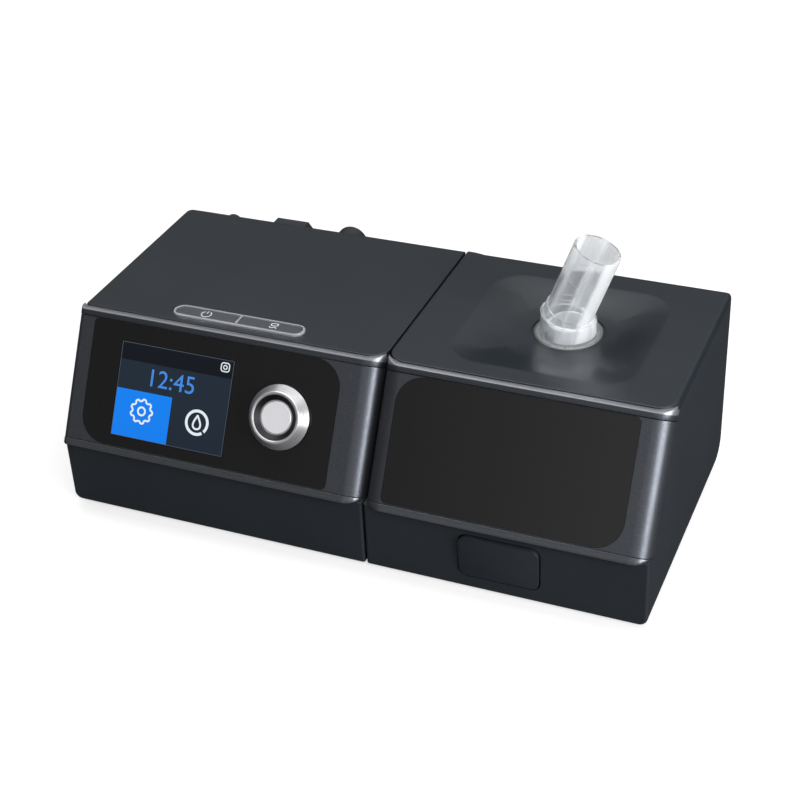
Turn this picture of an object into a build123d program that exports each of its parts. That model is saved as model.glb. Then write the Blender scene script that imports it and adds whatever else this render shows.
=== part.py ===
from build123d import *
from math import atan2, cos, hypot, radians, sin, tan
import os

# Bilevel positive airway pressure machine: a flow unit on the left and a heated humidifier
# docked to its right. Millimetres, +Z up, the user stands on the -Y side. The origin is the
# centre of the footprint, on the surface that the feet stand on.

# Overall sizes
unit_width = 156.5
humidifier_width = 133.5
body_height = 93.5
top_depth = 109.9
foot_reach = 142.6
foot_height = 36.0
chin_reach = 139.9
rear_reach = 14.0
feet_height = 1.2

# Shell sizes
wall = 2.4
module_gap = 0.8
joint_line = 0.3
cover_thickness = 2.6
cover_left_radius = 4.0
cover_corner_radius = 9.0
cover_edge_radius = 2.0
cover_joint_radius = 0.5
shadow_line_width = 1.3
outer_edge_radius = 4.0
seam_edge_radius = 1.2
heel_radius = 13.0
chin_edge_radius = 1.4
ledge_width = 4.0
ledge_height = 3.0
ledge_length = 60.0
rib_spacing = 36.0
rib_thickness = 1.6
rib_depth = 4.0
rib_margin = 15.0

# Sloping front pieces
front_depth = 10.0
front_wall = 3.2
front_left_radius = 3.0
front_corner_radius = 9.0
trim_top_height = 2.8
trim_bottom_height = 3.3
trim_wall = 2.4
trim_proud = 0.3
front_groove = 0.8
window_thickness = 1.5
window_fit = 0.15
window_big_radius = 13.0
window_small_radius = 2.5
window_top = 3.4
window_bottom_margin = 4.1
unit_window_left_margin = 9.3
unit_window_right_margin = 17.6
drawer_window_left_margin = 9.0
drawer_window_right_margin = 13.2

# Display and knob, placed on the sloping front: along X, and down the slope from its top edge
display_x = -89.7
display_down = 34.4
display_width = 59.7
display_height = 45.4
display_module_border = 3.0
display_module_thickness = 4.0
knob_x = -33.5
knob_down = 33.2
knob_base_radius = 15.2
knob_rim_radius = 11.9
knob_height = 6.1
knob_lift = 0.9
knob_cap_radius = 7.5
knob_cap_recess = 1.5
knob_travel = 0.5
shaft_radius = 3.0
plunger_height = 1.2
running_fit = 0.05
bushing_radius = 4.5
encoder_size = 12.0
encoder_height = 6.0
board_thickness = 1.6
board_corner_radius = 1.5
knob_hub_wall = 2.2
knob_hub_gap = 0.7
knob_web = 1.0
knob_wall = 2.0
knob_edge = 0.3
front_board_left_reach = 45.0
front_board_right_reach = 15.0
front_board_high = 8.5
front_board_low = 57.5
front_board_post_inset = 3.25
display_plug_width = 38.0
display_plug_height = 8.0
chip_size = 9.0
chip_height = 1.2
chip_spread_x = 22.0
chip_spread_y = 18.0

# Buttons on the top cover
button_bar_x = -66.0
button_bar_y = -33.3
button_bar_length = 68.0
button_bar_width = 9.6
button_ring_wall = 1.1
button_ring_proud = 1.0
button_play = 0.3
button_travel = 0.6
button_flange = 0.9
divider_width = 0.8
switch_size = 6.0
switch_height = 3.5
switch_stem_radius = 1.75
switch_stem = 1.0
button_board_width = 12.0
button_board_reach = 7.5
button_rounding = 0.3
button_flange_width = 1.5

# Blower
blower_x = -52.0
blower_y = 14.0
volute_radius = 35.0
volute_wall = 2.2
volute_half_height = 15.0
port_radius = 10.0
port_bore = 8.2
port_z = 66.0
impeller_radius = 27.0
impeller_blades = 11
impeller_height = 15.0
blade_thickness = 1.2
motor_radius = 16.0
motor_height = 19.0
motor_shaft_radius = 1.5
inlet_radius = 12.0
mount_circle = 41.0
mount_lug_radius = 5.5
mount_lug_width = 8.0
mount_lug_thickness = 3.0
mount_neck_radius = 3.8
mount_rim = 1.5
impeller_plate = 1.4
impeller_hub_radius = 5.0
impeller_hub_height = 10.0
blade_start = (9.0, 0.0)
blade_middle = (17.5, 4.5)
blade_end = (24.0, 11.5)
motor_cap = 2.0
motor_edge_radius = 1.5
inlet_lip = 2.0

# Main circuit board, and the sound foam beside the outer wall
main_board_low = -50.0
main_board_high = 38.0
main_board_gap = 1.5
capacitor_radius = 5.0
capacitor_height = 12.0
capacitor_spread = 14.0
capacitor_inset = 14.0
main_chip_size = 14.0
main_chip_height = 1.6
main_chip_spread = 22.0
main_chip_y = -8.0
main_plug_length = 24.0
main_plug_width = 7.0
main_plug_height = 8.0
main_plug_inset = 8.0
foam_y = 8.0
foam_z = 56.0
foam_length = 56.0
foam_height = 50.0
foam_thickness = 18.0
foam_corner_radius = 4.0

# Rear of the flow unit
power_x = -57.0
power_z = 81.0
power_radius = 8.4
power_recess_radius = 5.6
power_recess_depth = 10.0
power_pin_radius = 1.0
power_pin_length = 5.0
power_inner_length = 9.0
port_shoulder = 1.3
port_edge_radius = 0.8
cap_edge_radius = 1.8
data_cap_x = -122.0
data_cap_z = 85.6
data_cap_radius = 4.4
data_cap_reach = 8.0
filter_x = -89.0
filter_width = 43.0
filter_low = 32.0
filter_high = 84.0
filter_cover_thickness = 5.0
filter_tab_width = 20.6
filter_tab_reach = 10.0
filter_tab_top = 90.0
filter_tab_slant = 1.5
filter_margin = 3.0
filter_depth = 8.0
filter_pin_radius = 1.2
filter_barrel_radius = 2.6
filter_ear_width = 5.0
filter_bar_pitch = 6.0
filter_slot_width = 3.6
filter_play = 0.25
filter_cover_wall = 2.0
filter_cover_radius = 4.0
filter_cover_edge = 1.5
filter_vent_width = 2.2
filter_vent_pitch = 5.0
filter_vent_margin = 7.0

# Humidifier
ring_x_offset = 1.7
ring_y = 13.6
dish_width = 87.0
dish_length = 82.0
dish_y = 9.0
dish_depth = 5.0
dish_floor_width = 50.0
dish_floor_length = 46.0
dish_corner_radius = 16.0
collar_radius = 15.85
collar_height = 1.4
collar_recess_radius = 17.3
collar_recess_depth = 0.5
socket_radius = 14.6
elbow_skirt_radius = 13.0
elbow_skirt_bore = 11.9
elbow_tilt = 20.3
elbow_bend_rise = 4.5
elbow_tube_radius = 11.2
elbow_tube_bore = 9.7
elbow_mouth_bore = 10.1
elbow_step = 21.6
elbow_length = 37.6
elbow_shoulder_radius = 11.9
elbow_shoulder = 3.0
spigot_radius = 9.55
spigot_bore = 8.0
spigot_rise = 1.1
spigot_flange_radius = 11.0
spigot_flange = 0.8
web_thickness = 1.2
bay_floor_z = 35.7
tub_side_gap = 0.6
rail_width = 4.0
rail_low = 44.0
rail_high = 47.0
tub_floor_z = 36.9
tub_rim_drop = 15.0
tub_wall = 2.2
tub_back_gap = 10.0
tub_corner_radius = 4.0
tub_flange = 2.0
tub_flange_back = 6.0
plate_seat_radius = 36.0
plate_seat_lip = 3.0
lid_thickness = 3.2
port_rise = 0.8
heater_radius = 38.0
heater_flange = 1.2
heater_flange_drop = 1.5
heat_plate_thickness = 1.0
tub_inlet_radius = 8.5
air_gap = 0.3
latch_x_offset = -1.6
latch_width = 37.6
latch_low = 8.3
latch_high = 30.6
latch_proud = 2.0
latch_play = 0.7
latch_pivot_z = 11.5
latch_pin_radius = 1.5
latch_arm_width = 18.0
latch_arm_reach = 13.0
latch_pivot_inset = 5.8
latch_barrel_radius = 2.8
latch_ear_width = 4.0
latch_corner_radius = 4.0
hook_thickness = 4.0
hook_slot_width = 22.0
hook_slot_length = 12.0
heater_y = -2.0
heater_flange_radius = 40.0
spring_circle = 28.0
spring_width = 6.0
spring_length = 16.0
spring_thickness = 0.6
spring_rise = 5.0
heater_board_inset = 19.0
heater_board_width = 20.0
heater_board_length = 36.0
heater_board_post_x = 14.0
heater_board_post_y = 30.0
relay_length = 10.0
relay_width = 8.0
relay_height = 4.0
relay_spread = 16.0
pad_height = 6.2
lid_plug_depth = 2.0
seal_width = 1.4
front_post_radius = 4.0

# Screws, feet and docking parts
boss_radius = 4.0
boss_top = 40.0
boss_inset = 8.5
screw_radius = 1.5
screw_head_radius = 3.0
screw_head_height = 2.2
screw_bite = 10.0
screw_seat = 4.0
foot_radius = 6.0
foot_inset = 18.0
mount_height = 6.0
board_post_radius = 2.5
board_post_height = 6.4
peg_radius = 3.0
peg_reach = 6.0
peg_fit = 0.3
peg_spread = 64.0
dock_z = 20.0
dock_plug_length = 20.0
dock_plug_height = 8.0
dock_plug_reach = 4.0
dock_plug_tail = 6.0
dock_plug_flange = 2.0
dock_wall = 3.0
dock_socket_depth = 7.0
dock_corner_radius = 1.0

# Places worked out from the sizes above
total_width = unit_width + humidifier_width
unit_left = -total_width / 2
seam_x = unit_left + unit_width
unit_right = seam_x - module_gap / 2
humidifier_left = seam_x + module_gap / 2
humidifier_right = total_width / 2
humidifier_mid = (humidifier_left + humidifier_right) / 2
base_z = feet_height
floor_z = base_z + wall
shelf_z = foot_height - joint_line
cover_z = body_height - cover_thickness
elbow_bend_z = body_height + elbow_bend_rise
spigot_top = body_height + spigot_rise
tub_rim_z = body_height - tub_rim_drop
lean = atan2(foot_reach - top_depth, body_height - foot_height)
back_y = (foot_reach + trim_proud / cos(lean) - rear_reach) / 2
top_y = back_y - top_depth
chin_y = back_y - chin_reach
slope_length = hypot(foot_reach - top_depth, body_height - foot_height)
shell_depth = front_depth + joint_line
slope_up = Axis((0, 0, 0), (0, sin(lean), cos(lean)))
slope_out = Axis((0, 0, 0), (0, -cos(lean), sin(lean)))
front_face = Plane(origin=(0, top_y, body_height), x_dir=(1, 0, 0), z_dir=(0, -cos(lean), sin(lean)))
strip_top_depth = trim_wall / cos(lean)
cover_front_y = top_y + strip_top_depth + front_groove
ring_x = humidifier_mid + ring_x_offset
latch_x = humidifier_mid + latch_x_offset
port_y = blower_y + volute_radius - port_radius
inner_unit_left = unit_left + wall
inner_unit_right = unit_right - wall
inner_humidifier_left = humidifier_left + wall
inner_humidifier_right = humidifier_right - wall
blower_floor_z = port_z - volute_half_height
blower_lid_z = port_z + volute_half_height
filter_z = (filter_low + filter_high) / 2
filter_hinge_y = back_y + filter_barrel_radius + 0.5
filter_hinge_z = filter_low - filter_barrel_radius - 1
duct_end = inner_unit_right - 13
button_flange_low = cover_z - button_play - button_flange
switch_top = button_flange_low - button_travel - 0.1
button_board_high = switch_top - switch_stem - switch_height
board_depth = front_wall + encoder_height
unit_front_radii = [front_left_radius, front_corner_radius]
drawer_front_radii = [front_corner_radius, front_corner_radius]
unit_cover_radii = [cover_left_radius, cover_corner_radius]
drawer_cover_radii = [cover_corner_radius, cover_corner_radius]
screw_places = [
    (unit_left + boss_inset, cover_front_y + boss_inset),
    (unit_right - boss_inset, cover_front_y + boss_inset),
    (unit_left + boss_inset, back_y - boss_inset + 0.5),
    (unit_right - boss_inset, back_y - boss_inset + 0.5),
]
main_board_left = unit_left + boss_inset + boss_radius + main_board_gap
main_board_right = blower_x - mount_circle - boss_radius - main_board_gap
main_board_z = floor_z + board_post_height
tub_left = inner_humidifier_left + rail_width + tub_side_gap
tub_right = inner_humidifier_right - rail_width - tub_side_gap
tub_back = back_y - wall - tub_back_gap
tub_depth = front_depth + 1
mid_floor_low = bay_floor_z - wall
heater_top = tub_floor_z - 0.5
heat_plate_low = heater_top + air_gap
socket_low = body_height - dish_depth - 4
collar_low = body_height - dish_depth - collar_recess_depth
socket_web_high = socket_low + 1.9
skirt_low = socket_web_high + air_gap
lid_top = tub_rim_z + lid_thickness
latch_pivot_y = chin_y + latch_pivot_inset
hook_y = chin_y + latch_arm_reach
bottom_screws = [
    (humidifier_left + boss_inset, chin_y + 11.5),
    (humidifier_right - boss_inset, chin_y + 11.5),
    (humidifier_left + boss_inset, back_y - heel_radius - 9),
    (humidifier_right - boss_inset, back_y - heel_radius - 9),
]

os.makedirs("parts", exist_ok=True)


def slope_y(z, depth):
    """Y of the plane that lies depth behind the sloping front, at height z."""
    return top_y - (body_height - z) * tan(lean) + depth / cos(lean)


def save(piece, name):
    """Labels a finished piece and writes it."""
    piece.part.label = name
    export_step(piece.part, f"parts/{name}.step")


def shell_blank(left, right, outer_side):
    """Solid outer form of a module's shell, behind the sloping front; outer_side is -1 or 1."""
    with BuildPart() as blank:
        with BuildSketch(Plane.YZ.offset(left)) as profile:
            with BuildLine():
                Polyline(
                    (back_y, base_z),
                    (back_y, body_height),
                    (slope_y(body_height, shell_depth), body_height),
                    (slope_y(shelf_z, shell_depth), shelf_z),
                    (chin_y, shelf_z),
                    (chin_y, base_z),
                    close=True,
                )
            make_face()
            heel = profile.vertices().group_by(Axis.X)[-1].sort_by(Axis.Y)[0]
            fillet(heel, heel_radius)
        extrude(amount=right - left)
        uprights = blank.edges().filter_by(Axis.Z).group_by(Axis.Y)[-1].sort_by(Axis.X)
        outer = uprights[0] if outer_side < 0 else uprights[-1]
        inner = uprights[-1] if outer_side < 0 else uprights[0]
        fillet(outer, outer_edge_radius)
        fillet(inner, seam_edge_radius)
        chin_uprights = blank.edges().filter_by(Axis.Z).group_by(Axis.Y)[0]
        fillet(chin_uprights, chin_edge_radius)
    return blank


def front_blank(left, right, high, low, depth, radii, proud=0.0):
    """Block on the sloping front between two places down the slope; radii are its upright corners'."""
    with BuildPart() as blank:
        with BuildSketch(front_face.offset(-front_depth)):
            with Locations(((left + right) / 2, -(high + low) / 2)):
                Rectangle(right - left, low - high)
        extrude(amount=depth + proud)
        corners = blank.edges().filter_by(slope_up).sort_by(slope_out)[-2:].sort_by(Axis.X)
        fillet(corners[0], radii[0])
        corners = blank.edges().filter_by(slope_up).sort_by(slope_out)[-2:].sort_by(Axis.X)
        fillet(corners[-1], radii[1])
    return blank


def inner_radii(radii):
    """Radii of the inside of a front piece whose outside has the given ones."""
    return [radius - trim_wall for radius in radii]


def front_frame(left, right, radii):
    """Main front piece of a module: a panel that turns back round both corners."""
    high = trim_top_height + joint_line
    low = slope_length - trim_bottom_height - joint_line
    outside = front_blank(left, right, high, low, front_depth, radii)
    inside = front_blank(
        left + trim_wall,
        right - trim_wall,
        high - 1,
        low + 1,
        front_depth - front_wall,
        inner_radii(radii),
    )
    with BuildPart() as frame:
        add(outside.part)
        add(inside.part, mode=Mode.SUBTRACT)
        split(bisect_by=Plane.XY.offset(foot_height), keep=Keep.TOP)
    return frame


def trim_strip(left, right, radii, high, low, keep_below, level, relief):
    """Narrow strip that follows the front's bend, cut level at the cover or the chin, relieved."""
    outside = front_blank(left, right, high, low, front_depth, radii, trim_proud)
    inside = front_blank(
        left + trim_wall,
        right - trim_wall,
        high - 1,
        low + 1,
        front_depth - trim_wall,
        inner_radii(radii),
    )
    with BuildPart() as strip:
        add(outside.part)
        add(inside.part, mode=Mode.SUBTRACT)
        split(bisect_by=Plane.XY.offset(level), keep=Keep.BOTTOM if keep_below else Keep.TOP)
        add(relief.part, mode=Mode.SUBTRACT)
    return strip


def leaf(left, right, big_on_rise):
    """Window outline: two opposite corners are large arcs, the other two are small."""
    high = window_top
    low = slope_length - window_bottom_margin
    rise = Axis((0, 0, 0), (1, 1, 0))
    fall = Axis((0, 0, 0), (1, -1, 0))
    with BuildSketch() as outline:
        with Locations(((left + right) / 2, -(high + low) / 2)):
            Rectangle(right - left, low - high)
        diagonal = rise if big_on_rise else fall
        other = fall if big_on_rise else rise
        corners = outline.vertices().sort_by(diagonal)
        fillet([corners[0], corners[-1]], window_big_radius)
        corners = outline.vertices().sort_by(other)
        fillet([corners[0], corners[-1]], window_small_radius)
    return outline


# Outlines of the two window panels
unit_leaf = leaf(unit_left + unit_window_left_margin, unit_right - unit_window_right_margin, True)
drawer_leaf = leaf(
    humidifier_left + drawer_window_left_margin, humidifier_right - drawer_window_right_margin, False
)


def shell_cavity(left, right):
    """Hollow of a shell between two places along X, open at the top and above the chin."""
    with BuildPart() as cavity:
        with BuildSketch(Plane.YZ.offset(left)) as hollow:
            with BuildLine():
                Polyline(
                    (back_y - wall, floor_z),
                    (back_y - wall, body_height + 5),
                    (chin_y - 20, body_height + 5),
                    (chin_y - 20, shelf_z),
                    (slope_y(shelf_z, shell_depth), shelf_z),
                    (slope_y(shelf_z, shell_depth), shelf_z - wall),
                    (chin_y + wall, shelf_z - wall),
                    (chin_y + wall, floor_z),
                    close=True,
                )
            make_face()
            heel = hollow.vertices().group_by(Axis.X)[-1].sort_by(Axis.Y)[0]
            fillet(heel, heel_radius - wall)
        extrude(amount=right - left)
    return cavity


def cut_top_steps(left, right, outer_side):
    """Ends the walls under the cover, with a shadow line along the outer side and the back."""
    with BuildPart() as cutter:
        with BuildSketch(Plane.XY.offset(cover_z)):
            with Locations(((left + right) / 2, 0)):
                Rectangle(right - left + 10, 4 * back_y)
        extrude(amount=cover_thickness + 5)
        with BuildSketch(Plane.XY.offset(cover_z - joint_line)):
            with Locations((left if outer_side < 0 else right, 0)):
                Rectangle(2 * shadow_line_width, 4 * back_y)
            with Locations(((left + right) / 2, back_y)):
                Rectangle(right - left + 10, 2 * shadow_line_width)
        extrude(amount=joint_line + 5)
    return cutter


def feet(left, right):
    """Four round rubber feet under a module."""
    with BuildPart() as group:
        with BuildSketch(Plane.XY):
            with Locations(((left + right) / 2, (chin_y + back_y - heel_radius) / 2)):
                with GridLocations(
                    right - left - 2 * foot_inset, back_y - heel_radius - chin_y - 2 * foot_inset + 8, 2, 2
                ):
                    Circle(foot_radius)
        extrude(amount=feet_height)
    return group


def cover_blank(left, right, radii, outer_side):
    """Top cover over a module's full width, softly rounded along its outer side and its back."""
    with BuildPart() as blank:
        with BuildSketch(Plane.XY.offset(cover_z)) as outline:
            with Locations(((left + right) / 2, (cover_front_y + back_y) / 2)):
                Rectangle(right - left, back_y - cover_front_y)
            front = outline.vertices().group_by(Axis.Y)[0].sort_by(Axis.X)
            fillet(front[0], radii[0])
            front = outline.vertices().group_by(Axis.Y)[0].sort_by(Axis.X)
            fillet(front[-1], radii[1])
            rear = outline.vertices().group_by(Axis.Y)[-1].sort_by(Axis.X)
            fillet(rear[0], outer_edge_radius if outer_side < 0 else seam_edge_radius)
            rear = outline.vertices().group_by(Axis.Y)[-1].sort_by(Axis.X)
            fillet(rear[-1], outer_edge_radius if outer_side > 0 else seam_edge_radius)
        extrude(amount=cover_thickness)
        fillet(blank.faces().sort_by(Axis.Z)[-1].edges(), cover_joint_radius)
    reach = right - left + 2 * cover_corner_radius
    with BuildPart() as rounding:
        with BuildSketch(Plane.XY.offset(cover_z - 1)) as outline:
            with Locations((left if outer_side < 0 else right, back_y)):
                Rectangle(
                    reach,
                    back_y - cover_front_y + 2 * cover_corner_radius,
                    align=(Align.MIN if outer_side < 0 else Align.MAX, Align.MAX),
                )
            rear = outline.vertices().group_by(Axis.Y)[-1].sort_by(Axis.X)
            fillet(rear[0] if outer_side < 0 else rear[-1], outer_edge_radius)
        extrude(amount=cover_thickness + 1)
        fillet(rounding.faces().sort_by(Axis.Z)[-1].edges(), cover_edge_radius)
        add(blank.part, mode=Mode.INTERSECT)
    return rounding


def cover_relief(left, right, radii):
    """Room for a top cover's corners, taken out of the strip in front of it."""
    with BuildPart() as room:
        with BuildSketch(Plane.XY.offset(cover_z - joint_line)) as outline:
            with Locations(((left + right) / 2, (cover_front_y - joint_line + back_y) / 2)):
                Rectangle(right - left + 4, back_y - cover_front_y + joint_line)
            front = outline.vertices().group_by(Axis.Y)[0].sort_by(Axis.X)
            fillet(front[0], radii[0] + 2)
            front = outline.vertices().group_by(Axis.Y)[0].sort_by(Axis.X)
            fillet(front[-1], radii[1] + 2)
        extrude(amount=cover_thickness + 2)
    return room


def chin_relief(left, right):
    """Level gap between the bottom strip's thin rear edge and the shelf behind it."""
    with BuildPart() as room:
        with BuildSketch(Plane.XY.offset(foot_height - joint_line)):
            with Locations(((left + right) / 2, slope_y(foot_height, front_depth) + 10)):
                Rectangle(right - left + 4, 20)
        extrude(amount=4)
    return room


# Flow unit lower shell: chin, floor, sides and back, open at the top and behind the front frame
unit_blank = shell_blank(unit_left, unit_right, -1)
unit_cavity = shell_cavity(inner_unit_left, inner_unit_right)
unit_steps = cut_top_steps(unit_left, unit_right, -1)
with BuildPart() as unit_base:
    add(unit_blank.part)
    add(unit_cavity.part, mode=Mode.SUBTRACT)
    add(unit_steps.part, mode=Mode.SUBTRACT)
    # Ledge under the cover's outer edge
    with BuildSketch(Plane.XY.offset(cover_z)):
        with Locations((inner_unit_left + ledge_width / 2 - 0.5, ring_y)):
            Rectangle(ledge_width + 1, ledge_length)
    extrude(amount=-ledge_height)
    # Screw bosses, posts of the blower mounts and posts of the main board
    with BuildSketch(Plane.XY.offset(base_z + 0.5)):
        with Locations(*screw_places):
            Circle(boss_radius)
    extrude(amount=boss_top - base_z - 0.5)
    with BuildSketch(Plane.XY.offset(base_z + 0.5)):
        with Locations(*screw_places):
            Circle(screw_radius + 0.3)
    extrude(amount=boss_top, mode=Mode.SUBTRACT)
    with BuildSketch(Plane.XY.offset(base_z - 1)):
        with Locations(*screw_places):
            Circle(screw_head_radius + 0.3)
    extrude(amount=boss_top - screw_seat - base_z + 1, mode=Mode.SUBTRACT)
    with BuildSketch(Plane.XY.offset(base_z + 0.5)):
        with Locations((blower_x, blower_y)):
            with PolarLocations(mount_circle, 3, 90):
                Circle(boss_radius)
    extrude(amount=blower_floor_z - mount_height - base_z - 0.5)
    with BuildSketch(Plane.XY.offset(base_z + 0.5)):
        with Locations(
            ((main_board_left + main_board_right) / 2, (main_board_low + main_board_high) / 2)
        ):
            with GridLocations(
                main_board_right - main_board_left - 2 * board_post_radius,
                main_board_high - main_board_low - 2 * board_post_radius,
                2,
                2,
            ):
                Circle(board_post_radius)
    extrude(amount=main_board_z - base_z - 0.5)
    add(unit_blank.part, mode=Mode.INTERSECT)
    # Docking pegs, the dock plug's slot and the side port of the air nozzle
    with BuildSketch(Plane.YZ.offset(inner_unit_right)):
        with Locations((0, dock_z)):
            with GridLocations(peg_spread, 0, 2, 1):
                Circle(peg_radius)
    extrude(amount=wall + module_gap + peg_reach)
    with BuildSketch(Plane.YZ.offset(inner_unit_right - 1)):
        with Locations((0, dock_z)):
            Rectangle(dock_plug_length + 0.2, dock_plug_height + 0.2)
        with Locations((port_y, port_z)):
            Circle(port_radius + 0.1)
    extrude(amount=wall + 3, mode=Mode.SUBTRACT)
    # Filter pocket: a window in the back wall with a barred tray inside
    with BuildSketch(Plane.XZ.offset(-back_y)):
        with Locations((filter_x, filter_z)):
            Rectangle(filter_width + 2 * wall, filter_high - filter_low + 2 * wall)
    extrude(amount=filter_depth + wall)
    with BuildSketch(Plane.XZ.offset(-back_y - 1)):
        with Locations((filter_x, filter_z)):
            Rectangle(filter_width - 2 * filter_margin, filter_high - filter_low - 2 * filter_margin)
    extrude(amount=filter_depth + 1, mode=Mode.SUBTRACT)
    with BuildSketch(Plane.XZ.offset(-back_y + filter_depth - 1)):
        with Locations((filter_x, filter_z)):
            with GridLocations(filter_bar_pitch, 0, 6, 1):
                SlotOverall(filter_high - filter_low - 4 * filter_margin, filter_slot_width, rotation=90)
    extrude(amount=wall + 2, mode=Mode.SUBTRACT)
    # Holes of the power inlet and of the data port
    with BuildSketch(Plane.XZ.offset(-back_y - 1)):
        with Locations((power_x, power_z)):
            Circle(power_radius - port_shoulder + 0.1)
        with Locations((data_cap_x, data_cap_z)):
            Circle(data_cap_radius - port_shoulder + 0.1)
    extrude(amount=wall + 3, mode=Mode.SUBTRACT)
    # Hinge ears of the filter cover
    with BuildSketch(Plane.YZ.offset(filter_x)):
        with Locations((filter_hinge_y, filter_hinge_z)):
            Circle(filter_barrel_radius)
        with Locations(((back_y + filter_hinge_y) / 2 - 0.5, filter_hinge_z)):
            Rectangle(filter_hinge_y - back_y + 1, 2 * filter_barrel_radius)
    extrude(amount=filter_width / 2, both=True)
    with BuildSketch(Plane.YZ.offset(filter_x)):
        with Locations((back_y + filter_barrel_radius + 1, filter_hinge_z)):
            Rectangle(2 * filter_barrel_radius + 2, 2 * filter_barrel_radius + 2)
    extrude(amount=filter_width / 2 - filter_ear_width, both=True, mode=Mode.SUBTRACT)
    with BuildSketch(Plane.YZ.offset(filter_x)):
        with Locations((filter_hinge_y, filter_hinge_z)):
            Circle(filter_pin_radius)
    extrude(amount=filter_width / 2 - 1, both=True, mode=Mode.SUBTRACT)
save(unit_base, "unit_base")

# Flow unit top cover, with the button bar's opening, posts and ribs
unit_cover_blank = cover_blank(unit_left, unit_right, unit_cover_radii, -1)
button_board_length = button_bar_length + 2 * button_board_reach
with BuildPart() as unit_top_cover:
    add(unit_cover_blank.part)
    with BuildSketch(Plane.XY.offset(cover_z - 1)):
        with Locations((button_bar_x, button_bar_y)):
            SlotOverall(button_bar_length + 0.2, button_bar_width + 0.2)
    extrude(amount=cover_thickness + 2, mode=Mode.SUBTRACT)
    # Posts of the button board
    with BuildSketch(Plane.XY.offset(cover_z)):
        with Locations((button_bar_x, button_bar_y)):
            with GridLocations(button_board_length - 2 * board_post_radius, 0, 2, 1):
                Circle(board_post_radius)
    extrude(amount=button_board_high - cover_z)
    # Screw posts that stand on the shell's bosses
    with BuildSketch(Plane.XY.offset(boss_top)):
        with Locations(*screw_places):
            Circle(boss_radius)
    extrude(amount=cover_z - boss_top)
    with BuildSketch(Plane.XY.offset(boss_top)):
        with Locations(*screw_places):
            Circle(screw_radius)
    extrude(amount=screw_bite + 2, mode=Mode.SUBTRACT)
    # Stiffening ribs
    with BuildSketch(Plane.XY.offset(cover_z)):
        with Locations(((unit_left + unit_right) / 2, back_y / 2)):
            with GridLocations(0, rib_spacing, 1, 2):
                Rectangle(unit_width - 2 * rib_margin, rib_thickness)
    extrude(amount=-rib_depth)
save(unit_top_cover, "unit_top_cover")

# Flow unit front frame: window recess, openings and posts of the front board
unit_front_blank = front_frame(unit_left, unit_right, unit_front_radii)
front_board_left = display_x - front_board_left_reach
front_board_right = knob_x + front_board_right_reach
front_board_posts = [
    (front_board_left + front_board_post_inset, -front_board_high - front_board_post_inset),
    (front_board_left + front_board_post_inset, -front_board_low + front_board_post_inset),
    (front_board_right - front_board_post_inset, -front_board_high - front_board_post_inset),
    (front_board_right - front_board_post_inset, -front_board_low + front_board_post_inset),
]
with BuildPart() as unit_front_frame:
    add(unit_front_blank.part)
    with BuildSketch(front_face.offset(-window_thickness)):
        add(unit_leaf.sketch)
        offset(amount=window_fit)
    extrude(amount=window_thickness + 2, mode=Mode.SUBTRACT)
    with BuildSketch(front_face.offset(-front_wall - 1)):
        with Locations((display_x, -display_down)):
            Rectangle(display_width + 2 * window_fit, display_height + 2 * window_fit)
        with Locations((knob_x, -knob_down)):
            Circle(bushing_radius + 0.1)
    extrude(amount=front_wall + 2, mode=Mode.SUBTRACT)
    with BuildSketch(front_face.offset(-board_depth)):
        with Locations(*front_board_posts):
            Circle(board_post_radius)
    extrude(amount=board_depth - front_wall + 0.5)
save(unit_front_frame, "unit_front_frame")

# Trim strips above and below the front frame
unit_cover_room = cover_relief(unit_left, unit_right, unit_cover_radii)
unit_chin_room = chin_relief(unit_left, unit_right)
unit_trim_top = trim_strip(
    unit_left, unit_right, unit_front_radii, -8, trim_top_height, True, body_height, unit_cover_room
)
save(unit_trim_top, "unit_trim_top")
unit_trim_bottom = trim_strip(
    unit_left,
    unit_right,
    unit_front_radii,
    slope_length - trim_bottom_height,
    slope_length + 8,
    False,
    foot_height,
    unit_chin_room,
)
save(unit_trim_bottom, "unit_trim_bottom")

# Black window panel of the flow unit
with BuildPart() as unit_window:
    with BuildSketch(front_face.offset(-window_thickness)):
        add(unit_leaf.sketch)
        with Locations((display_x, -display_down)):
            Rectangle(display_width + 2 * window_fit, display_height + 2 * window_fit, mode=Mode.SUBTRACT)
        with Locations((knob_x, -knob_down)):
            Circle(bushing_radius + 0.8, mode=Mode.SUBTRACT)
    extrude(amount=window_thickness)
save(unit_window, "unit_window")

# Display: the glass flush with the window, and the module behind the frame
with BuildPart() as display_glass:
    with BuildSketch(front_face.offset(-front_wall)):
        with Locations((display_x, -display_down)):
            Rectangle(display_width, display_height)
    extrude(amount=front_wall - 0.15)
save(display_glass, "display_glass")
with BuildPart() as display_module:
    with BuildSketch(front_face.offset(-front_wall)):
        with Locations((display_x, -display_down)):
            RectangleRounded(
                display_width + 2 * display_module_border, display_height + 2 * display_module_border, 1.5
            )
    extrude(amount=-display_module_thickness)
save(display_module, "display_module")

# Circuit board behind the front frame
with BuildPart() as front_board:
    with BuildSketch(front_face.offset(-board_depth - board_thickness)):
        with Locations(
            ((front_board_left + front_board_right) / 2, -(front_board_high + front_board_low) / 2)
        ):
            RectangleRounded(
                front_board_right - front_board_left,
                front_board_low - front_board_high,
                board_corner_radius,
            )
    extrude(amount=board_thickness)
    with BuildSketch(front_face.offset(-board_depth)):
        with Locations((display_x, -display_down)):
            Rectangle(display_plug_width, display_plug_height)
    extrude(amount=board_depth - front_wall - display_module_thickness)
    with BuildSketch(front_face.offset(-board_depth - board_thickness)):
        with Locations((display_x, -display_down)):
            with GridLocations(chip_spread_x, chip_spread_y, 2, 2):
                Rectangle(chip_size, chip_size)
    extrude(amount=-chip_height)
save(front_board, "front_board")

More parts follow.
